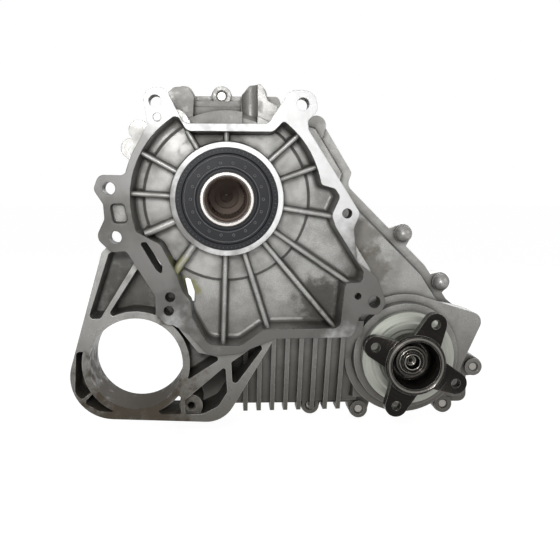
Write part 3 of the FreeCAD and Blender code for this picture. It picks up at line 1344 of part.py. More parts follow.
parts = {
    "front_case": front_case,
    "rear_case": rear_case,
    "case_bolts": case_bolts,
    "case_dowels": case_dowels,
    "input_seal": lambda: seal(input_seal_radius - seat_gap, input_radius, seal_width, seal_start),
    "input_snap_ring": lambda: snap_ring(input_bearing_radius + 1.4, snap_ring_width, snap_ring_y - 0.05),
    "input_bearing_outer_ring": lambda: bearing_outer(
        input_bearing_radius, input_radius, input_bearing_width - 0.1, input_bearing_y + 0.05),
    "input_bearing_inner_ring": lambda: bearing_inner(input_radius, input_bearing_width - 0.1,
                                                      input_bearing_y + 0.05),
    "main_shaft": main_shaft,
    "rear_bearing_outer_ring": lambda: bearing_outer(
        rear_bearing_radius, rear_bearing_bore, rear_bearing_width, rear_bearing_y + 0.05),
    "rear_bearing_inner_ring": lambda: bearing_inner(rear_bearing_bore, rear_bearing_width,
                                                     rear_bearing_y + 0.05),
    "rear_snap_ring": lambda: snap_ring(rear_bearing_radius + 1.3, snap_ring_width, rear_ring_y + 0.05),
    "rear_output_seal": lambda: seal(rear_bearing_radius, rear_hub_radius, rear_seal_width, rear_seal_y),
    "rear_output_flange": rear_output_flange,
    "rear_flange_nut": rear_flange_nut,
    "rear_dust_shield": rear_dust_shield,
    "pump_housing": pump_housing,
    "pump_cover": pump_cover,
    "pump_inner_rotor": pump_inner_rotor,
    "pump_outer_rotor": pump_outer_rotor,
    "pump_screws": pump_screws,
    "upper_sprocket": lambda: sprocket(
        needle_seat_radius + 4.1, needle_seat_radius + 9 - seat_gap, sprocket_hub_y, drum_y + 3, 0, 0),
    "sprocket_needle_bearing": lambda: tube(
        needle_seat_radius + 4.05, needle_seat_radius + 0.05, sprocket_hub_y + 1, drum_y - 1),
    "clutch_drum": clutch_drum,
    "clutch_hub": clutch_hub,
    "steel_plates": steel_plates,
    "friction_plates": friction_plates,
    "pressure_plate": pressure_plate,
    "thrust_bearing": thrust_bearing,
    "front_lever": lambda: lever(lever_y, lever_y, cam_y - cam_width / 2 - 0.4, 1, 1),
    "rear_lever": lambda: lever(
        rear_lever_y, cam_y + cam_width / 2 + 0.4, rear_lever_y + lever_thickness, -1, 1),
    "front_lever_roller": lambda: lever_roller(1),
    "rear_lever_roller": lambda: lever_roller(-1),
    "ramp_balls": ramp_balls,
    "lever_thrust_washer": lambda: tube(lever_radius - 2, rear_bearing_radius - 3, washer_y,
                                        chamber_end - 0.02),
    "cam_disc": cam_disc,
    "control_shaft": control_shaft,
    "actuator_wheel": actuator_wheel,
    "worm_shaft": worm,
    "actuator_housing": actuator_housing,
    "actuator_cover": actuator_cover,
    "motor_can": motor_can,
    "motor_connector": motor_connector,
    "actuator_screws": actuator_screws,
    "drive_chain": chain,
    "lower_sprocket": lambda: sprocket(output_sprocket_seat + seat_gap, output_sprocket_seat + 8,
                                       chain_start - 1.4,
                                       chain_end + 0.9, output_x, output_z),
    "front_output_shaft": front_output_shaft,
    "output_bearing_outer_ring": lambda: bearing_outer(
        output_bearing_radius, output_bearing_bore, output_bearing_width, output_bearing_y + 0.05, output_x,
        output_z),
    "output_bearing_inner_ring": lambda: bearing_inner(
        output_bearing_bore, output_bearing_width - 0.1, output_bearing_y, output_x, output_z),
    "output_snap_ring": lambda: snap_ring(
        output_bearing_radius + 1.3, snap_ring_width, output_ring_y, output_x, output_z),
    "tail_bearing_outer_ring": lambda: bearing_outer(
        tail_bearing_radius, tail_bearing_bore, tail_bearing_width, tail_bearing_y, output_x, output_z),
    "tail_bearing_inner_ring": lambda: bearing_inner(
        tail_bearing_bore, tail_bearing_width, tail_bearing_y, output_x, output_z),
    "front_output_seal": lambda: seal(
        output_seal_radius - seat_gap, output_hub_radius, output_seal_width, output_seal_y, output_x,
        output_z),
    "front_output_flange": front_output_flange,
    "output_flange_nut": output_flange_nut,
    "dust_shield": dust_shield,
    "drain_plug": lambda: plug(drain_place, 6.0),
    "fill_plug": lambda: plug(fill_place, 6.0),
    "breather": breather,
}

for name, make in parts.items():
    save(name, make())
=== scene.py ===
import bpy
import bmesh
import json
import math
from mathutils import Matrix, Vector


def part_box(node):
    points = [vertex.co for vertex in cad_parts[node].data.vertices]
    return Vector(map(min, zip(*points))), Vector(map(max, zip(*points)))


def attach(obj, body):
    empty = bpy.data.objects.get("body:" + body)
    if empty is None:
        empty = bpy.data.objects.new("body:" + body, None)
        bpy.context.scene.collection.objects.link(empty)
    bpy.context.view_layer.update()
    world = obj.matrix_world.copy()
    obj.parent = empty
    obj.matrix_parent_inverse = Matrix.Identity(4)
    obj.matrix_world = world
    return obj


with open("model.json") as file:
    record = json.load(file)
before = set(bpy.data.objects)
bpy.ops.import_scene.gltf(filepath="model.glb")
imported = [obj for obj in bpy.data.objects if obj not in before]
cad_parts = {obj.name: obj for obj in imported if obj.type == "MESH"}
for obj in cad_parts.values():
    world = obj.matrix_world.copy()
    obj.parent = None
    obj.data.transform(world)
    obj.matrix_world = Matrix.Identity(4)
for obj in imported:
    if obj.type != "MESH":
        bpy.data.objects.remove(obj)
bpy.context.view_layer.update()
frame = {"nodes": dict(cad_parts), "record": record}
nodes = frame["nodes"]
print("frame loaded:", len(nodes), "nodes")


# small helpers for node trees

def newGroup(name, inputs, outputs):
    group = bpy.data.node_groups.new(name, "ShaderNodeTree")
    for label, kind, value in inputs:
        socket = group.interface.new_socket(name=label, in_out="INPUT", socket_type=kind)
        socket.default_value = value
    for label, kind in outputs:
        group.interface.new_socket(name=label, in_out="OUTPUT", socket_type=kind)
    return group, group.nodes.new("NodeGroupInput"), group.nodes.new("NodeGroupOutput")


def feed(tree, socket, value):
    if isinstance(value, (int, float, tuple)):
        socket.default_value = value
    else:
        tree.links.new(value, socket)


def mathNode(tree, operation, first, second):
    node = tree.nodes.new("ShaderNodeMath")
    node.operation = operation
    feed(tree, node.inputs[0], first)
    feed(tree, node.inputs[1], second)
    return node.outputs[0]


def mixColour(tree, factor, first, second, blend="MIX"):
    node = tree.nodes.new("ShaderNodeMix")
    node.data_type = "RGBA"
    node.blend_type = blend
    sockets = [s for s in node.inputs if s.type == "RGBA"]
    for socket, value in ((node.inputs[0], factor), (sockets[0], first), (sockets[1], second)):
        feed(tree, socket, value)
    return [s for s in node.outputs if s.type == "RGBA"][0]


def layOver(tree, mask, share, under, over):
    # one colour over another where a mask says so, at most by a share
    return mixColour(tree, mathNode(tree, "MULTIPLY", mask, share), under, over)


def mixFloat(tree, factor, first, second):
    node = tree.nodes.new("ShaderNodeMix")
    node.data_type = "FLOAT"
    for socket, value in ((node.inputs[0], factor), (node.inputs[2], first), (node.inputs[3], second)):
        feed(tree, socket, value)
    return node.outputs[0]


def ramp(tree, value, stops, kind="SMOOTHSTEP"):
    # a step between two input values and the two values that come out
    node = tree.nodes.new("ShaderNodeMapRange")
    node.clamp = True
    node.interpolation_type = kind
    tree.links.new(value, node.inputs["Value"])
    for name, stop in zip(("From Min", "From Max", "To Min", "To Max"), stops):
        feed(tree, node.inputs[name], stop)
    return node.outputs[0]


def greyFrom(tree, value):
    node = tree.nodes.new("ShaderNodeCombineColor")
    for index in range(3):
        tree.links.new(value, node.inputs[index])
    return node.outputs[0]


def vectorNode(tree, operation, first, second=None):
    node = tree.nodes.new("ShaderNodeVectorMath")
    node.operation = operation
    feed(tree, node.inputs[0], first)
    if second is not None:
        feed(tree, node.inputs[1], second)
    return node


def axesOf(tree, vector):
    node = tree.nodes.new("ShaderNodeSeparateXYZ")
    tree.links.new(vector, node.inputs[0])
    return node.outputs


def noiseNode(tree, coords, scale, detail=3.0, roughness=0.55):
    node = tree.nodes.new("ShaderNodeTexNoise")
    feed(tree, node.inputs["Scale"], scale)
    node.inputs["Detail"].default_value = detail
    node.inputs["Roughness"].default_value = roughness
    tree.links.new(coords, node.inputs["Vector"])
    return node.outputs["Fac"]


# effects that more than one finish uses

effectLook = {
    "edgeSamples": 4, "hollowSamples": 6, "grainStrength": 0.6, "ringStrength": 0.5,
    "wearAndGlintScale": 260.0, "wearAndGlintRange": (0.55, 1.3), "patchCore": 0.45, "patchWobble": 4.0,
}


def softEdge(tree, radius):
    # the normal of a surface whose edges are rounded off
    node = tree.nodes.new("ShaderNodeBevel")
    node.samples = effectLook["edgeSamples"]
    tree.links.new(radius, node.inputs["Radius"])
    return node.outputs["Normal"]


def bumpNode(tree, strength, depth, height, normal):
    node = tree.nodes.new("ShaderNodeBump")
    node.inputs["Strength"].default_value = strength
    for name, value in (("Distance", depth), ("Height", height), ("Normal", normal)):
        tree.links.new(value, node.inputs[name])
    return node.outputs["Normal"]


def makeCastGrain():
    # blasted casting skin: fine grain, soft mottling, slightly rounded edges
    group, gIn, gOut = newGroup("castGrain", [
        ("Grain Scale", "NodeSocketFloat", 1500.0), ("Grain Depth", "NodeSocketFloat", 0.00012),
        ("Mottle Scale", "NodeSocketFloat", 38.0), ("Edge Radius", "NodeSocketFloat", 0.0009),
    ], [("Mottle", "NodeSocketFloat"), ("Grain", "NodeSocketFloat"), ("Normal", "NodeSocketVector")])
    coords = group.nodes.new("ShaderNodeTexCoord").outputs["Object"]
    fine = noiseNode(group, coords, gIn.outputs["Grain Scale"], 2.0)
    mottle = noiseNode(group, coords, gIn.outputs["Mottle Scale"], 5.0, 0.62)
    soft = softEdge(group, gIn.outputs["Edge Radius"])
    normal = bumpNode(group, effectLook["grainStrength"], gIn.outputs["Grain Depth"], fine, soft)
    group.links.new(mottle, gOut.inputs["Mottle"])
    group.links.new(fine, gOut.inputs["Grain"])
    group.links.new(normal, gOut.inputs["Normal"])
    return group


def makeRecess():
    # 1 in corners and hollows, 0 on open surfaces
    group, gIn, gOut = newGroup("recess", [
        ("Reach", "NodeSocketFloat", 0.02), ("Low", "NodeSocketFloat", 0.35),
        ("High", "NodeSocketFloat", 0.95),
    ], [("Recess", "NodeSocketFloat")])
    shade = group.nodes.new("ShaderNodeAmbientOcclusion")
    shade.samples = effectLook["hollowSamples"]
    group.links.new(gIn.outputs["Reach"], shade.inputs["Distance"])
    stops = (gIn.outputs["Low"], gIn.outputs["High"], 1.0, 0.0)
    group.links.new(ramp(group, shade.outputs["AO"], stops, "LINEAR"), gOut.inputs["Recess"])
    return group


def makeEdgeWearAndGlint():
    # 1 along edges, where handling has rubbed the skin bright and where painted glints stand in for
    # highlights on edges and rib tops
    group, gIn, gOut = newGroup("edgeWearAndGlint", [
        ("Width", "NodeSocketFloat", 0.0012), ("Low", "NodeSocketFloat", 0.02),
        ("High", "NodeSocketFloat", 0.22),
    ], [("WearAndGlint", "NodeSocketFloat")])
    soft = softEdge(group, gIn.outputs["Width"])
    plain = group.nodes.new("ShaderNodeNewGeometry").outputs["Normal"]
    bent = mathNode(group, "SUBTRACT", 1.0, vectorNode(group, "DOT_PRODUCT", soft, plain).outputs["Value"])
    coords = group.nodes.new("ShaderNodeTexCoord").outputs["Object"]
    noise = noiseNode(group, coords, effectLook["wearAndGlintScale"])
    ragged = mathNode(group, "MULTIPLY", bent, ramp(group, noise, (0.3, 0.7, *effectLook["wearAndGlintRange"])))
    stops = (gIn.outputs["Low"], gIn.outputs["High"], 0.0, 1.0)
    group.links.new(ramp(group, ragged, stops, "LINEAR"), gOut.inputs["WearAndGlint"])
    return group


def makeTurned():
    # rings left by a lathe about a Y axis through a given centre
    group, gIn, gOut = newGroup("turnedRings", [
        ("Centre", "NodeSocketVector", (0.0, 0.0, 0.0)), ("Ring Scale", "NodeSocketFloat", 900.0),
        ("Depth", "NodeSocketFloat", 0.00003), ("Edge Radius", "NodeSocketFloat", 0.0006),
    ], [("Rings", "NodeSocketFloat"), ("Radius", "NodeSocketFloat"), ("Normal", "NodeSocketVector")])
    coords = group.nodes.new("ShaderNodeTexCoord").outputs["Object"]
    away = vectorNode(group, "SUBTRACT", coords, gIn.outputs["Centre"]).outputs[0]
    flat = vectorNode(group, "MULTIPLY", away, (1.0, 0.0, 1.0)).outputs[0]
    length = vectorNode(group, "LENGTH", flat).outputs["Value"]
    rings = group.nodes.new("ShaderNodeTexNoise")
    rings.noise_dimensions = "1D"
    rings.inputs["Detail"].default_value = 2.0
    group.links.new(mathNode(group, "ADD", length, axesOf(group, coords)["Y"]), rings.inputs["W"])
    group.links.new(gIn.outputs["Ring Scale"], rings.inputs["Scale"])
    soft = softEdge(group, gIn.outputs["Edge Radius"])
    normal = bumpNode(group, effectLook["ringStrength"], gIn.outputs["Depth"], rings.outputs["Fac"], soft)
    group.links.new(rings.outputs["Fac"], gOut.inputs["Rings"])
    group.links.new(length, gOut.inputs["Radius"])
    group.links.new(normal, gOut.inputs["Normal"])
    return group


def makeRaggedPatch():
    # a ragged patch round one place
    group, gIn, gOut = newGroup("raggedPatch", [
        ("Centre", "NodeSocketVector", (0.0, 0.0, 0.0)), ("Reach", "NodeSocketFloat", 0.02),
        ("Ragged", "NodeSocketFloat", 0.4), ("Grain", "NodeSocketFloat", 120.0),
    ], [("Mask", "NodeSocketFloat")])
    coords = group.nodes.new("ShaderNodeTexCoord").outputs["Object"]
    away = vectorNode(group, "SUBTRACT", coords, gIn.outputs["Centre"]).outputs[0]
    length = vectorNode(group, "LENGTH", away).outputs["Value"]
    share = mathNode(group, "DIVIDE", length, gIn.outputs["Reach"])
    noise = mathNode(group, "SUBTRACT", noiseNode(group, coords, gIn.outputs["Grain"], 4.0, 0.6), 0.5)
    ragged = mathNode(group, "MULTIPLY", gIn.outputs["Ragged"], effectLook["patchWobble"])
    edge = mathNode(group, "ADD", share, mathNode(group, "MULTIPLY", noise, ragged))
    group.links.new(ramp(group, edge, (effectLook["patchCore"], 1.0, 1.0, 0.0)), gOut.inputs["Mask"])
    return group


castGrain = makeCastGrain()
recess = makeRecess()
edgeWearAndGlint = makeEdgeWearAndGlint()
turnedRings = makeTurned()
raggedPatch = makeRaggedPatch()
print("shared effects built")


def startMaterial(name, metallic, roughness, specular=0.5):
    material = bpy.data.materials.new(name)
    material.use_nodes = True
    tree = material.node_tree
    shader = tree.nodes["Principled BSDF"]
    shader.inputs["Metallic"].default_value = metallic
    shader.inputs["Roughness"].default_value = roughness
    shader.inputs["Specular IOR Level"].default_value = specular
    return material, tree, shader


def place(tree, group, **values):
    node = tree.nodes.new("ShaderNodeGroup")
    node.node_tree = group
    for name, value in values.items():
        node.inputs[name.replace("_", " ")].default_value = value
    return node


def toned(colour, gain, lift=0.0):
    return tuple(min(1.0, channel * gain + lift) for channel in colour[:3]) + (1,)


# cast aluminium: blasted skin, bright machined faces, old stains and painted shadows, with painted shade
# in hollows, corners and on turned-away sides, and painted glints on edges

castLook = {
    "open": (0.44, 0.435, 0.42, 1), "dull": (0.29, 0.285, 0.27, 1), "patches": (0.36, 0.68),
    "speckle": (0.80, 1.08), "metallic": 0.4, "specular": 0.3,
    "roughness": 0.31, "smoother": 0.05, "rougher": 0.08, "hollowRoughness": 0.15,
    "deep": (0.035, 0.032, 0.026, 1), "hollowReach": 0.03, "hollowShare": 0.28,
    "cornerReach": 0.005, "cornerShare": 0.9, "sideFrom": 0.35, "sideTo": 0.95, "sideShare": 0.72,
    "wearAndGlint": (0.64, 0.64, 0.62, 1), "wearAndGlintShare": 0.6,
    "lowerDark": (0.080, 0.073, 0.060, 1), "lowerDarkFrom": -0.03, "lowerDarkTo": -0.19, "lowerDarkShare": 0.87,
    "lowerDarkRagged": 0.06, "patchRoughness": 0.75,
    "machined": (0.60, 0.60, 0.60, 1), "machinedRoughness": 0.42, "machinedFacing": -0.985,
    "machinedPatches": (0.45, 0.75), "machinedPatchShare": 0.5,
    "darkerFace": (0.080, 0.076, 0.068, 1), "darkerFaceRagged": 0.28, "darkerFaceGrain": 30.0,
}
plainLook = dict(castLook, open=(0.47, 0.47, 0.45, 1), roughness=0.36)
# machined faces look towards the gearbox, in these bands of depth
frontBands = [(-0.0006, 0.0006), (0.0015, 0.0026)]
# places where the machined face is darker: centre, reach, share
darkerFacePlaces = [
    ((-0.074, 0.0, -0.062), 0.098, 0.86),
    ((-0.105, 0.0, 0.020), 0.080, 0.74),
    ((0.030, 0.0, -0.135), 0.115, 0.92),
    ((0.130, 0.0, -0.085), 0.080, 0.90),
]
# stains and painted shade on the casting: centre, reach, colour, share
castStainsAndShade = [
    ((-0.047, 0.012, -0.060), 0.016, (0.34, 0.33, 0.10, 1), 0.6),
    ((-0.036, 0.031, -0.084), 0.013, (0.36, 0.35, 0.11, 1), 0.6),
    ((0.088, 0.031, -0.098), 0.030, (0.05, 0.042, 0.03, 1), 0.65),
    # a brown stain, darkened further as painted shade on the up-facing inner wall of the bush ring
    ((-0.086, 0.025, -0.185), 0.070, (0.055, 0.043, 0.028, 1), 0.92),
    ((-0.054, 0.0, -0.096), 0.022, (0.09, 0.08, 0.065, 1), 0.8),
    # painted shadow: a brownish band to the right of the bell wall
    ((0.131, 0.040, -0.040), 0.026, (0.10, 0.085, 0.06, 1), 0.5),
    ((0.138, 0.042, -0.070), 0.030, (0.10, 0.085, 0.06, 1), 0.55),
    # painted shade on an upward-facing ledge at the top
    ((-0.012, 0.030, 0.085), 0.052, (0.19, 0.18, 0.16, 1), 0.4),
    ((-0.090, 0.060, -0.085), 0.058, (0.12, 0.115, 0.10, 1), 0.6),
]


def machinedMask(tree, depth, facing, look, bands):
    # 1 on faces that look forwards and lie in one of the bands
    mask = None
    for low, high in bands:
        inside = mathNode(tree, "MULTIPLY", mathNode(tree, "GREATER_THAN", depth, low),
                          mathNode(tree, "LESS_THAN", depth, high))
        mask = inside if mask is None else mathNode(tree, "MAXIMUM", mask, inside)
    return mathNode(tree, "MULTIPLY", mask, mathNode(tree, "LESS_THAN", facing, look["machinedFacing"]))


def castMaterial(name, look, machinedBands=(), darkerFaceSpots=(), stainsAndShade=()):
    material, tree, shader = startMaterial(name, look["metallic"], look["roughness"], look["specular"])
    grain = place(tree, castGrain)
    mottle = grain.outputs["Mottle"]
    hollow = place(tree, recess, Reach=look["hollowReach"], Low=0.2, High=0.85).outputs[0]
    corner = place(tree, recess, Reach=look["cornerReach"], Low=0.3, High=0.9).outputs[0]
    wearAndGlintMask = place(tree, edgeWearAndGlint).outputs[0]
    coords = tree.nodes.new("ShaderNodeTexCoord")
    where = axesOf(tree, coords.outputs["Object"])

    colour = mixColour(tree, ramp(tree, mottle, (*look["patches"], 0.0, 1.0)), look["open"], look["dull"])
    speck = ramp(tree, grain.outputs["Grain"], (0.3, 0.7, *look["speckle"]))
    colour = mixColour(tree, 1.0, colour, greyFrom(tree, speck), "MULTIPLY")
    # the colour darkens towards the bottom
    height = mathNode(tree, "ADD", where["Z"], mathNode(tree, "MULTIPLY", mottle, look["lowerDarkRagged"]))
    lowerDarkening = ramp(tree, height, (look["lowerDarkTo"], look["lowerDarkFrom"], look["lowerDarkShare"], 0.0))
    colour = mixColour(tree, lowerDarkening, colour, look["lowerDark"])
    # painted shade on surfaces that turn away from the eye
    turned = tree.nodes.new("ShaderNodeLayerWeight")  # surfaces that turn away from the eye
    turned.inputs["Blend"].default_value = 0.5
    side = ramp(tree, turned.outputs["Facing"], (look["sideFrom"], look["sideTo"], 0.0, 1.0), "LINEAR")
    colour = layOver(tree, side, look["sideShare"], colour, look["deep"])
    # edges lightened: worn skin, and painted glint standing in for highlights
    colour = layOver(tree, wearAndGlintMask, look["wearAndGlintShare"], colour, look["wearAndGlint"])
    patchCover = 0.0
    # stains, and patches of painted shade
    for centre, reach, tint, share in stainsAndShade:
        patch = place(tree, raggedPatch, Centre=centre, Reach=reach)
        cover = mathNode(tree, "MULTIPLY", patch.outputs[0], share)
        colour = mixColour(tree, cover, colour, tint)
        patchCover = mathNode(tree, "MAXIMUM", cover, patchCover)
    # painted shade in hollows and corners
    colour = layOver(tree, hollow, look["hollowShare"], colour, look["deep"])
    colour = layOver(tree, corner, look["cornerShare"], colour, look["deep"])

    uneven = (0.35, 0.7, look["roughness"] - look["smoother"], look["roughness"] + look["rougher"])
    rough = mathNode(tree, "ADD", mathNode(tree, "MULTIPLY", hollow, look["hollowRoughness"]),
                     ramp(tree, mottle, uneven))
    if machinedBands:
        facing = axesOf(tree, coords.outputs["Normal"])["Y"]
        mask = machinedMask(tree, where["Y"], facing, look, machinedBands)
        patches = ramp(tree, mottle, (*look["machinedPatches"], 0.0, look["machinedPatchShare"]))
        face = mixColour(tree, patches, look["machined"], look["open"])
        # the machined face darkens in these places
        for centre, reach, share in darkerFaceSpots:
            patch = place(tree, raggedPatch, Centre=centre, Reach=reach, Ragged=look["darkerFaceRagged"],
                          Grain=look["darkerFaceGrain"])
            face = layOver(tree, patch.outputs[0], share, face, look["darkerFace"])
        colour = mixColour(tree, mask, colour, face)
        rough = mixFloat(tree, mask, rough, look["machinedRoughness"])
    if stainsAndShade:
        rough = mixFloat(tree, patchCover, rough, look["patchRoughness"])
        tree.links.new(mixFloat(tree, patchCover, look["metallic"], 0.0), shader.inputs["Metallic"])
    tree.links.new(colour, shader.inputs["Base Color"])
    tree.links.new(rough, shader.inputs["Roughness"])
    tree.links.new(grain.outputs["Normal"], shader.inputs["Normal"])
    return material


# turned, ground and sheet steel

steelLook = {
    "ringTone": 0.72, "ringRoughness": 0.08, "wearAndGlintTone": 1.35, "wearAndGlintLift": 0.02, "wearAndGlintShare": 0.6,
    "wearAndGlintWidth": 0.0007, "hollowReach": 0.008, "hollowShare": 0.8,
}


def steelMaterial(name, colour, roughness, centre=(0.0, 0.0, 0.0), ringScale=900.0, dark=0.35,
                  metallic=1.0, depth=0.00003, glint=None, hub=None):
    look = steelLook
    material, tree, shader = startMaterial(name, metallic, roughness)
    rings = place(tree, turnedRings, Centre=centre, Ring_Scale=ringScale, Depth=depth)
    hollow = place(tree, recess, Reach=look["hollowReach"], Low=0.2, High=0.85)
    wearAndGlintMask = place(tree, edgeWearAndGlint, Width=look["wearAndGlintWidth"])
    # edges lightened: worn metal, and painted glint; a given glint colour is painted glint alone
    wearAndGlint = glint or toned(colour, look["wearAndGlintTone"], look["wearAndGlintLift"])
    base = mixColour(tree, rings.outputs["Rings"], toned(colour, look["ringTone"]), colour)
    # painted highlight: bright streaks across the hub's turning rings
    if hub:
        edge = (hub["radius"] - hub["edge"], hub["radius"], 1.0, 0.0)
        bright = place(tree, turnedRings, Centre=centre, Ring_Scale=hub["scale"])
        highlightStreak = ramp(tree, bright.outputs["Rings"], (*hub["highlightStreaks"], 0.0, 1.0))
        base = layOver(tree, ramp(tree, rings.outputs["Radius"], edge), highlightStreak, base, hub["tint"])
    base = layOver(tree, wearAndGlintMask.outputs[0], look["wearAndGlintShare"], base, wearAndGlint)
    # painted shade in hollows, at the tone set by dark
    base = layOver(tree, hollow.outputs[0], look["hollowShare"], base, toned(colour, dark))
    uneven = mathNode(tree, "MULTIPLY", rings.outputs["Rings"], look["ringRoughness"])
    tree.links.new(base, shader.inputs["Base Color"])
    tree.links.new(mathNode(tree, "ADD", uneven, roughness), shader.inputs["Roughness"])
    tree.links.new(rings.outputs["Normal"], shader.inputs["Normal"])
    return material


# the sleeve: ground outside, varnished brown inside, with bright steps deep in the bore; the brown and the
# steps are lightened as painted light where little lamp light reaches

shaftLook = {
    "steel": (0.34, 0.32, 0.305, 1), "low": (0.17, 0.16, 0.15, 1), "roughness": 0.22,
    "ringRoughness": 0.08, "bore": (0.32, 0.25, 0.21, 1), "boreRadius": 0.0207, "boreStart": 0.0035,
    "boreEnd": 0.165, "boreRoughness": 0.42, "boreMetallic": 0.25,
    "step": (0.94, 0.90, 0.86, 1), "stepFacing": -0.9,
}


def shaftMaterial(name, look):
    material, tree, shader = startMaterial(name, 1.0, look["roughness"])
    rings = place(tree, turnedRings)
    coords = tree.nodes.new("ShaderNodeTexCoord")
    depth = axesOf(tree, coords.outputs["Object"])["Y"]
    facing = axesOf(tree, coords.outputs["Normal"])["Y"]
    inside = mathNode(tree, "LESS_THAN", rings.outputs["Radius"], look["boreRadius"])
    inside = mathNode(tree, "MULTIPLY", inside, mathNode(tree, "GREATER_THAN", depth, look["boreStart"]))
    inside = mathNode(tree, "MULTIPLY", inside, mathNode(tree, "LESS_THAN", depth, look["boreEnd"]))
    step = mathNode(tree, "MULTIPLY", inside, mathNode(tree, "LESS_THAN", facing, look["stepFacing"]))
    base = mixColour(tree, rings.outputs["Rings"], look["low"], look["steel"])
    # the bore's brown and the steps carry painted light deep in the bore
    base = mixColour(tree, inside, base, look["bore"])
    base = mixColour(tree, step, base, look["step"])
    uneven = mathNode(tree, "MULTIPLY", rings.outputs["Rings"], look["ringRoughness"])
    outside = mathNode(tree, "ADD", uneven, look["roughness"])
    tree.links.new(base, shader.inputs["Base Color"])
    tree.links.new(ramp(tree, inside, (0.0, 1.0, 1.0, look["boreMetallic"])), shader.inputs["Metallic"])
    tree.links.new(mixFloat(tree, inside, outside, look["boreRoughness"]), shader.inputs["Roughness"])
    tree.links.new(rings.outputs["Normal"], shader.inputs["Normal"])
    return material


# rubber, plastics, coated and sintered metal

softLook = {
    "mottleScale": 90.0, "edgeRadius": 0.0005, "mottleRoughness": 0.12, "dullTone": 0.72,
    "dullLift": 0.004, "wearAndGlintTone": 1.5, "wearAndGlintLift": 0.02, "wearAndGlintShare": 0.5, "wearAndGlintWidth": 0.0006,
    "hollowShadeTone": 0.35, "hollowReach": 0.006, "hollowShare": 0.7,
}


def softMaterial(name, colour, roughness, grainScale=2200.0, grainDepth=0.00004, metallic=0.0,
                 specular=0.5):
    look = softLook
    material, tree, shader = startMaterial(name, metallic, roughness, specular)
    grain = place(tree, castGrain, Grain_Scale=grainScale, Grain_Depth=grainDepth,
                  Mottle_Scale=look["mottleScale"], Edge_Radius=look["edgeRadius"])
    hollow = place(tree, recess, Reach=look["hollowReach"], Low=0.2, High=0.9)
    wearAndGlintMask = place(tree, edgeWearAndGlint, Width=look["wearAndGlintWidth"])
    dull = toned(colour, look["dullTone"], look["dullLift"])
    # edges lightened: worn surface, and painted glint
    wearAndGlint = toned(colour, look["wearAndGlintTone"], look["wearAndGlintLift"])
    base = mixColour(tree, grain.outputs["Mottle"], colour, dull)
    base = layOver(tree, wearAndGlintMask.outputs[0], look["wearAndGlintShare"], base, wearAndGlint)
    # painted shade in hollows
    base = layOver(tree, hollow.outputs[0], look["hollowShare"], base, toned(colour, look["hollowShadeTone"]))
    uneven = mathNode(tree, "MULTIPLY", grain.outputs["Mottle"], look["mottleRoughness"])
    tree.links.new(base, shader.inputs["Base Color"])
    tree.links.new(mathNode(tree, "ADD", uneven, roughness), shader.inputs["Roughness"])
    tree.links.new(grain.outputs["Normal"], shader.inputs["Normal"])
    return material


def centreOf(node):
    low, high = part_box(node)
    return ((low.x + high.x) / 2, 0.0, (low.z + high.z) / 2)


outputCentre = centreOf("dust_shield")

# painted highlight: bright radial streaks over the turning marks in the middle of the flange
hubHighlightLook = {
    "radius": 0.027, "edge": 0.002, "scale": 420.0, "highlightStreaks": (0.46, 0.62),
    "tint": (0.30, 0.285, 0.26, 1),
}

materials = {
    "cast_aluminium": castMaterial("sand-cast aluminium, machined faces", castLook, frontBands,
                                   darkerFacePlaces, castStainsAndShade),
    "rear_casting": castMaterial("sand-cast aluminium, rear", castLook),
    "pump_aluminium": castMaterial("die-cast pump aluminium", plainLook),
    "actuator_aluminium": castMaterial("die-cast actuator aluminium", plainLook),
    "zinc_bolts": steelMaterial("zinc-plated bolts", (0.36, 0.345, 0.32, 1), 0.25),
    "black_rubber": softMaterial("moulded black rubber", (0.011, 0.0125, 0.016, 1), 0.34, specular=0.18),
    # the marks' lighter grey is painted glint on the moulded rubber
    "seal_marks": softMaterial("polished rubber marks, lightened as painted glint", (0.10, 0.10, 0.105, 1), 0.25),
    "spring_steel": steelMaterial("dark spring steel", (0.10, 0.10, 0.11, 1), 0.4),
    "bearing_steel": steelMaterial("ground bearing steel", (0.62, 0.61, 0.60, 1), 0.2),
    "ground_steel": steelMaterial("ground shaft steel", (0.60, 0.575, 0.55, 1), 0.22),
    "main_shaft": shaftMaterial("ground sleeve with a brown bore", shaftLook),
    # the flange gets painted glints on its edges and painted highlight streaks in its hub
    "forged_steel": steelMaterial("turned flange steel", (0.016, 0.0145, 0.013, 1), 0.09, outputCentre,
                                  ringScale=1500.0, dark=0.4, depth=0.0012,
                                  glint=(0.55, 0.52, 0.48, 1), hub=hubHighlightLook),
    "pressed_steel": steelMaterial("zinc-plated sheet steel", (0.44, 0.455, 0.40, 1), 0.38, outputCentre,
                                   ringScale=300.0, dark=0.55, metallic=0.45),
    "gear_steel": steelMaterial("hardened steel", (0.40, 0.39, 0.38, 1), 0.3),
    "sintered_steel": softMaterial("sintered steel", (0.30, 0.30, 0.30, 1), 0.45, metallic=1.0),
    "plate_steel": steelMaterial("flat ground steel", (0.5, 0.5, 0.5, 1), 0.3),
    "friction_lining": softMaterial("brown friction lining", (0.16, 0.10, 0.06, 1), 0.8, 900.0, 0.0001),
    "chain_steel": softMaterial("oiled chain steel", (0.26, 0.26, 0.28, 1), 0.3, metallic=1.0),
    "worm_steel": steelMaterial("rolled worm steel", (0.55, 0.54, 0.53, 1), 0.25),
    "wheel_plastic": softMaterial("natural nylon", (0.72, 0.69, 0.60, 1), 0.45),
    "motor_steel": softMaterial("black coated can", (0.03, 0.03, 0.033, 1), 0.38),
    "black_plastic": softMaterial("black moulded plastic", (0.02, 0.02, 0.021, 1), 0.5),
    "breather_brass": steelMaterial("turned brass", (0.70, 0.55, 0.27, 1), 0.3),
}
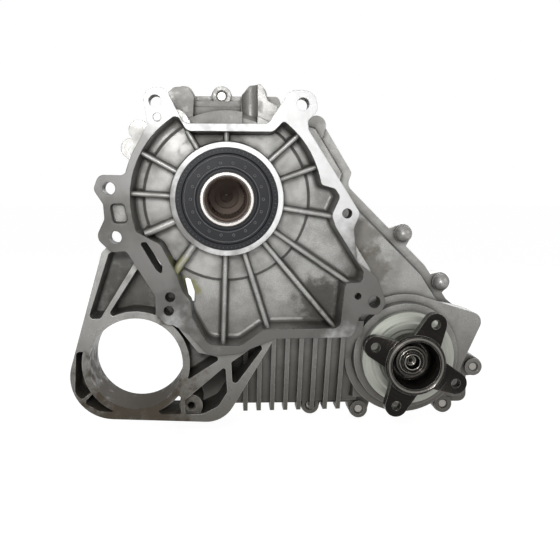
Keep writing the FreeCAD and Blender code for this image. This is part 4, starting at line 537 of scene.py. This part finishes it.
# nodes whose finish isn't the one that their slot names
ownFinish = {"rear_case": "rear_casting", "main_shaft": "main_shaft", "front_output_shaft": "forged_steel"}
slotOf = {part["node"]: part["material_slot"] for part in frame["record"]["subparts"]}
for name, thing in nodes.items():
    thing.data.materials.clear()
    thing.data.materials.append(materials[ownFinish.get(name, slotOf[name])])
print("materials placed:", len(materials))


# pieces too fine for the castings' own solids

def finishPiece(name, bm, material, body):
    bmesh.ops.remove_doubles(bm, verts=bm.verts, dist=1e-6)
    bmesh.ops.recalc_face_normals(bm, faces=bm.faces)
    mesh = bpy.data.meshes.new(name)
    bm.to_mesh(mesh)
    bm.free()
    for face in mesh.polygons:
        face.use_smooth = True
    mesh.materials.append(material)
    piece = bpy.data.objects.new(name, mesh)
    bpy.context.scene.collection.objects.link(piece)
    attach(piece, body)


def addRing(bm, centre, ringRadius, barRadius, steps, barSteps=8, flatten=1.0):
    # a round bar bent into a ring about a Y axis through the centre
    x, y, z = centre
    turn = Matrix.Translation((x + ringRadius, y, z)) @ Matrix.Diagonal((1.0, flatten, 1.0, 1.0))
    made = bmesh.ops.create_circle(bm, segments=barSteps, radius=barRadius, matrix=turn)
    edges = {edge for vert in made["verts"] for edge in vert.link_edges}
    bmesh.ops.spin(bm, geom=made["verts"] + list(edges), cent=centre, axis=(0, 1, 0),
                   angle=2 * math.pi, steps=steps, use_merge=True)


sealLook = {
    "webDepth": 0.0014, "rings": (0.0296, 0.0388), "ringBar": 0.00045, "ringSteps": 96,
    "dots": 18, "dotCircle": 0.033, "firstDot": 10.0, "dotRadius": 0.0011, "dotBar": 0.0004,
    "dotSteps": 14, "dotBarSteps": 6,
    "ticks": 72, "tickCircle": 0.0440, "tickSize": (0.0011, 0.0004, 0.0005),
}


def makeSealPattern(look):
    # the moulded rings, small round marks and fine ribs on the input seal's face
    bm = bmesh.new()
    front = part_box("input_seal")[0].y
    web = front + look["webDepth"]
    for radius in look["rings"]:
        addRing(bm, (0.0, web, 0.0), radius, look["ringBar"], look["ringSteps"])
    for index in range(look["dots"]):
        angle = math.radians(look["firstDot"] + index * 360.0 / look["dots"])
        centre = (look["dotCircle"] * math.sin(angle), web, look["dotCircle"] * math.cos(angle))
        addRing(bm, centre, look["dotRadius"], look["dotBar"], look["dotSteps"], look["dotBarSteps"])
    for index in range(look["ticks"]):
        turn = Matrix.Rotation(index * 2 * math.pi / look["ticks"], 4, "Y")
        move = Matrix.Translation((look["tickCircle"], front, 0.0))
        size = Matrix.Diagonal((*look["tickSize"], 1.0))
        bmesh.ops.create_cube(bm, size=1.0, matrix=turn @ move @ size)
    finishPiece("input_seal_pattern", bm, materials["seal_marks"], "housing")


markLook = {"at": (-0.0608, 0.0, 0.0724), "radius": 0.0036, "bar": 0.00045, "steps": 40, "flatten": 0.6}


def makeFaceMark(look):
    # the small round plug mark beside the upper left ear
    bm = bmesh.new()
    addRing(bm, look["at"], look["radius"], look["bar"], look["steps"], flatten=look["flatten"])
    finishPiece("flange_plug_mark", bm, materials["rear_casting"], "housing")


makeSealPattern(sealLook)
makeFaceMark(markLook)
print("fine pieces made")


# floor, background, light and camera

stageLook = {
    "floorZ": -0.2285, "floorSize": 6.0, "floorColour": (0.9, 0.9, 0.9, 1), "floorRoughness": 0.9,
    "shadowShare": 0.25, "glow": 1.25, "room": (0.24, 0.24, 0.24, 1), "white": (1, 1, 1, 1),
}


def seenDirectly(tree):
    # camera, glossy and transmission rays see the white background
    path = tree.nodes.new("ShaderNodeLightPath")
    seen = mathNode(tree, "MAXIMUM", path.outputs["Is Camera Ray"], path.outputs["Is Glossy Ray"])
    return mathNode(tree, "MAXIMUM", seen, path.outputs["Is Transmission Ray"])


def mixShaders(tree, factor, first, second):
    node = tree.nodes.new("ShaderNodeMixShader")
    for index, output in enumerate((factor, first, second)):
        tree.links.new(output, node.inputs[index])
    return node.outputs[0]


def makeFloor(look):
    mesh = bpy.data.meshes.new("floor")
    bm = bmesh.new()
    bmesh.ops.create_grid(bm, x_segments=1, y_segments=1, size=look["floorSize"])
    bmesh.ops.translate(bm, verts=bm.verts, vec=(0, 0, look["floorZ"]))
    bm.to_mesh(mesh)
    bm.free()
    floor = bpy.data.objects.new("floor", mesh)
    bpy.context.scene.collection.objects.link(floor)
    material, tree, shader = startMaterial("pale floor", 0.0, look["floorRoughness"], 0.0)
    shader.inputs["Base Color"].default_value = look["floorColour"]
    white = tree.nodes.new("ShaderNodeEmission")
    white.inputs["Strength"].default_value = look["glow"]
    share = mathNode(tree, "MULTIPLY", seenDirectly(tree), 1.0 - look["shadowShare"])
    mixed = mixShaders(tree, share, shader.outputs[0], white.outputs[0])
    tree.links.new(mixed, tree.nodes["Material Output"].inputs["Surface"])
    mesh.materials.append(material)


def makeBackground(look):
    world = bpy.data.worlds.new("studio")
    bpy.context.scene.world = world
    world.use_nodes = True
    tree = world.node_tree
    room = tree.nodes["Background"]
    room.inputs["Color"].default_value = look["room"]
    white = tree.nodes.new("ShaderNodeBackground")
    white.inputs["Color"].default_value = look["white"]
    mixed = mixShaders(tree, seenDirectly(tree), room.outputs[0], white.outputs[0])
    tree.links.new(mixed, tree.nodes["World Output"].inputs["Surface"])


lampLook = {
    "key": {"at": (-0.07, -0.64, 0.13), "aim": (0.0, 0.0, 0.03), "size": 0.09, "power": 1.5},
    "fill": {"at": (0.03, -1.25, 0.06), "aim": (0.03, 0.0, -0.04), "size": 0.45, "power": 2.4},
    "over": {"at": (-0.35, -0.80, 0.90), "aim": (0.0, 0.0, -0.03), "size": 0.40, "power": 1.2},
    "side": {"at": (1.0, -0.45, 0.35), "aim": (0.1, 0.0, -0.08), "size": 0.45, "power": 1.3},
    "back": {"at": (0.4, 1.3, 0.35), "aim": (0.0, 0.1, -0.05), "size": 0.8, "power": 6.0},
}


def makeLamps(look):
    for name, lamp in look.items():
        data = bpy.data.lights.new(name, "AREA")
        data.energy = lamp["power"]
        data.size = lamp["size"]
        thing = bpy.data.objects.new(name, data)
        thing.location = lamp["at"]
        ahead = Vector(lamp["aim"]) - Vector(lamp["at"])
        thing.rotation_euler = ahead.to_track_quat("-Z", "Y").to_euler()
        bpy.context.scene.collection.objects.link(thing)


cameraLook = {
    "at": (-0.00256, -0.67532, 0.01922), "ahead": (0.0737, 0.988, -0.136), "lens": 47.83,
    "sensor": 36.0, "clip": 0.01,
}


def makeCamera(look):
    data = bpy.data.cameras.new("camera")
    data.sensor_width = look["sensor"]
    data.lens = look["lens"]
    data.clip_start = look["clip"]
    camera = bpy.data.objects.new("camera", data)
    camera.location = look["at"]
    camera.rotation_euler = Vector(look["ahead"]).to_track_quat("-Z", "Y").to_euler()
    bpy.context.scene.collection.objects.link(camera)
    bpy.context.scene.camera = camera


makeFloor(stageLook)
makeBackground(stageLook)
makeLamps(lampLook)
makeCamera(cameraLook)
bpy.context.scene.view_settings.view_transform = "Standard"
print("stage, lamps and camera ready")
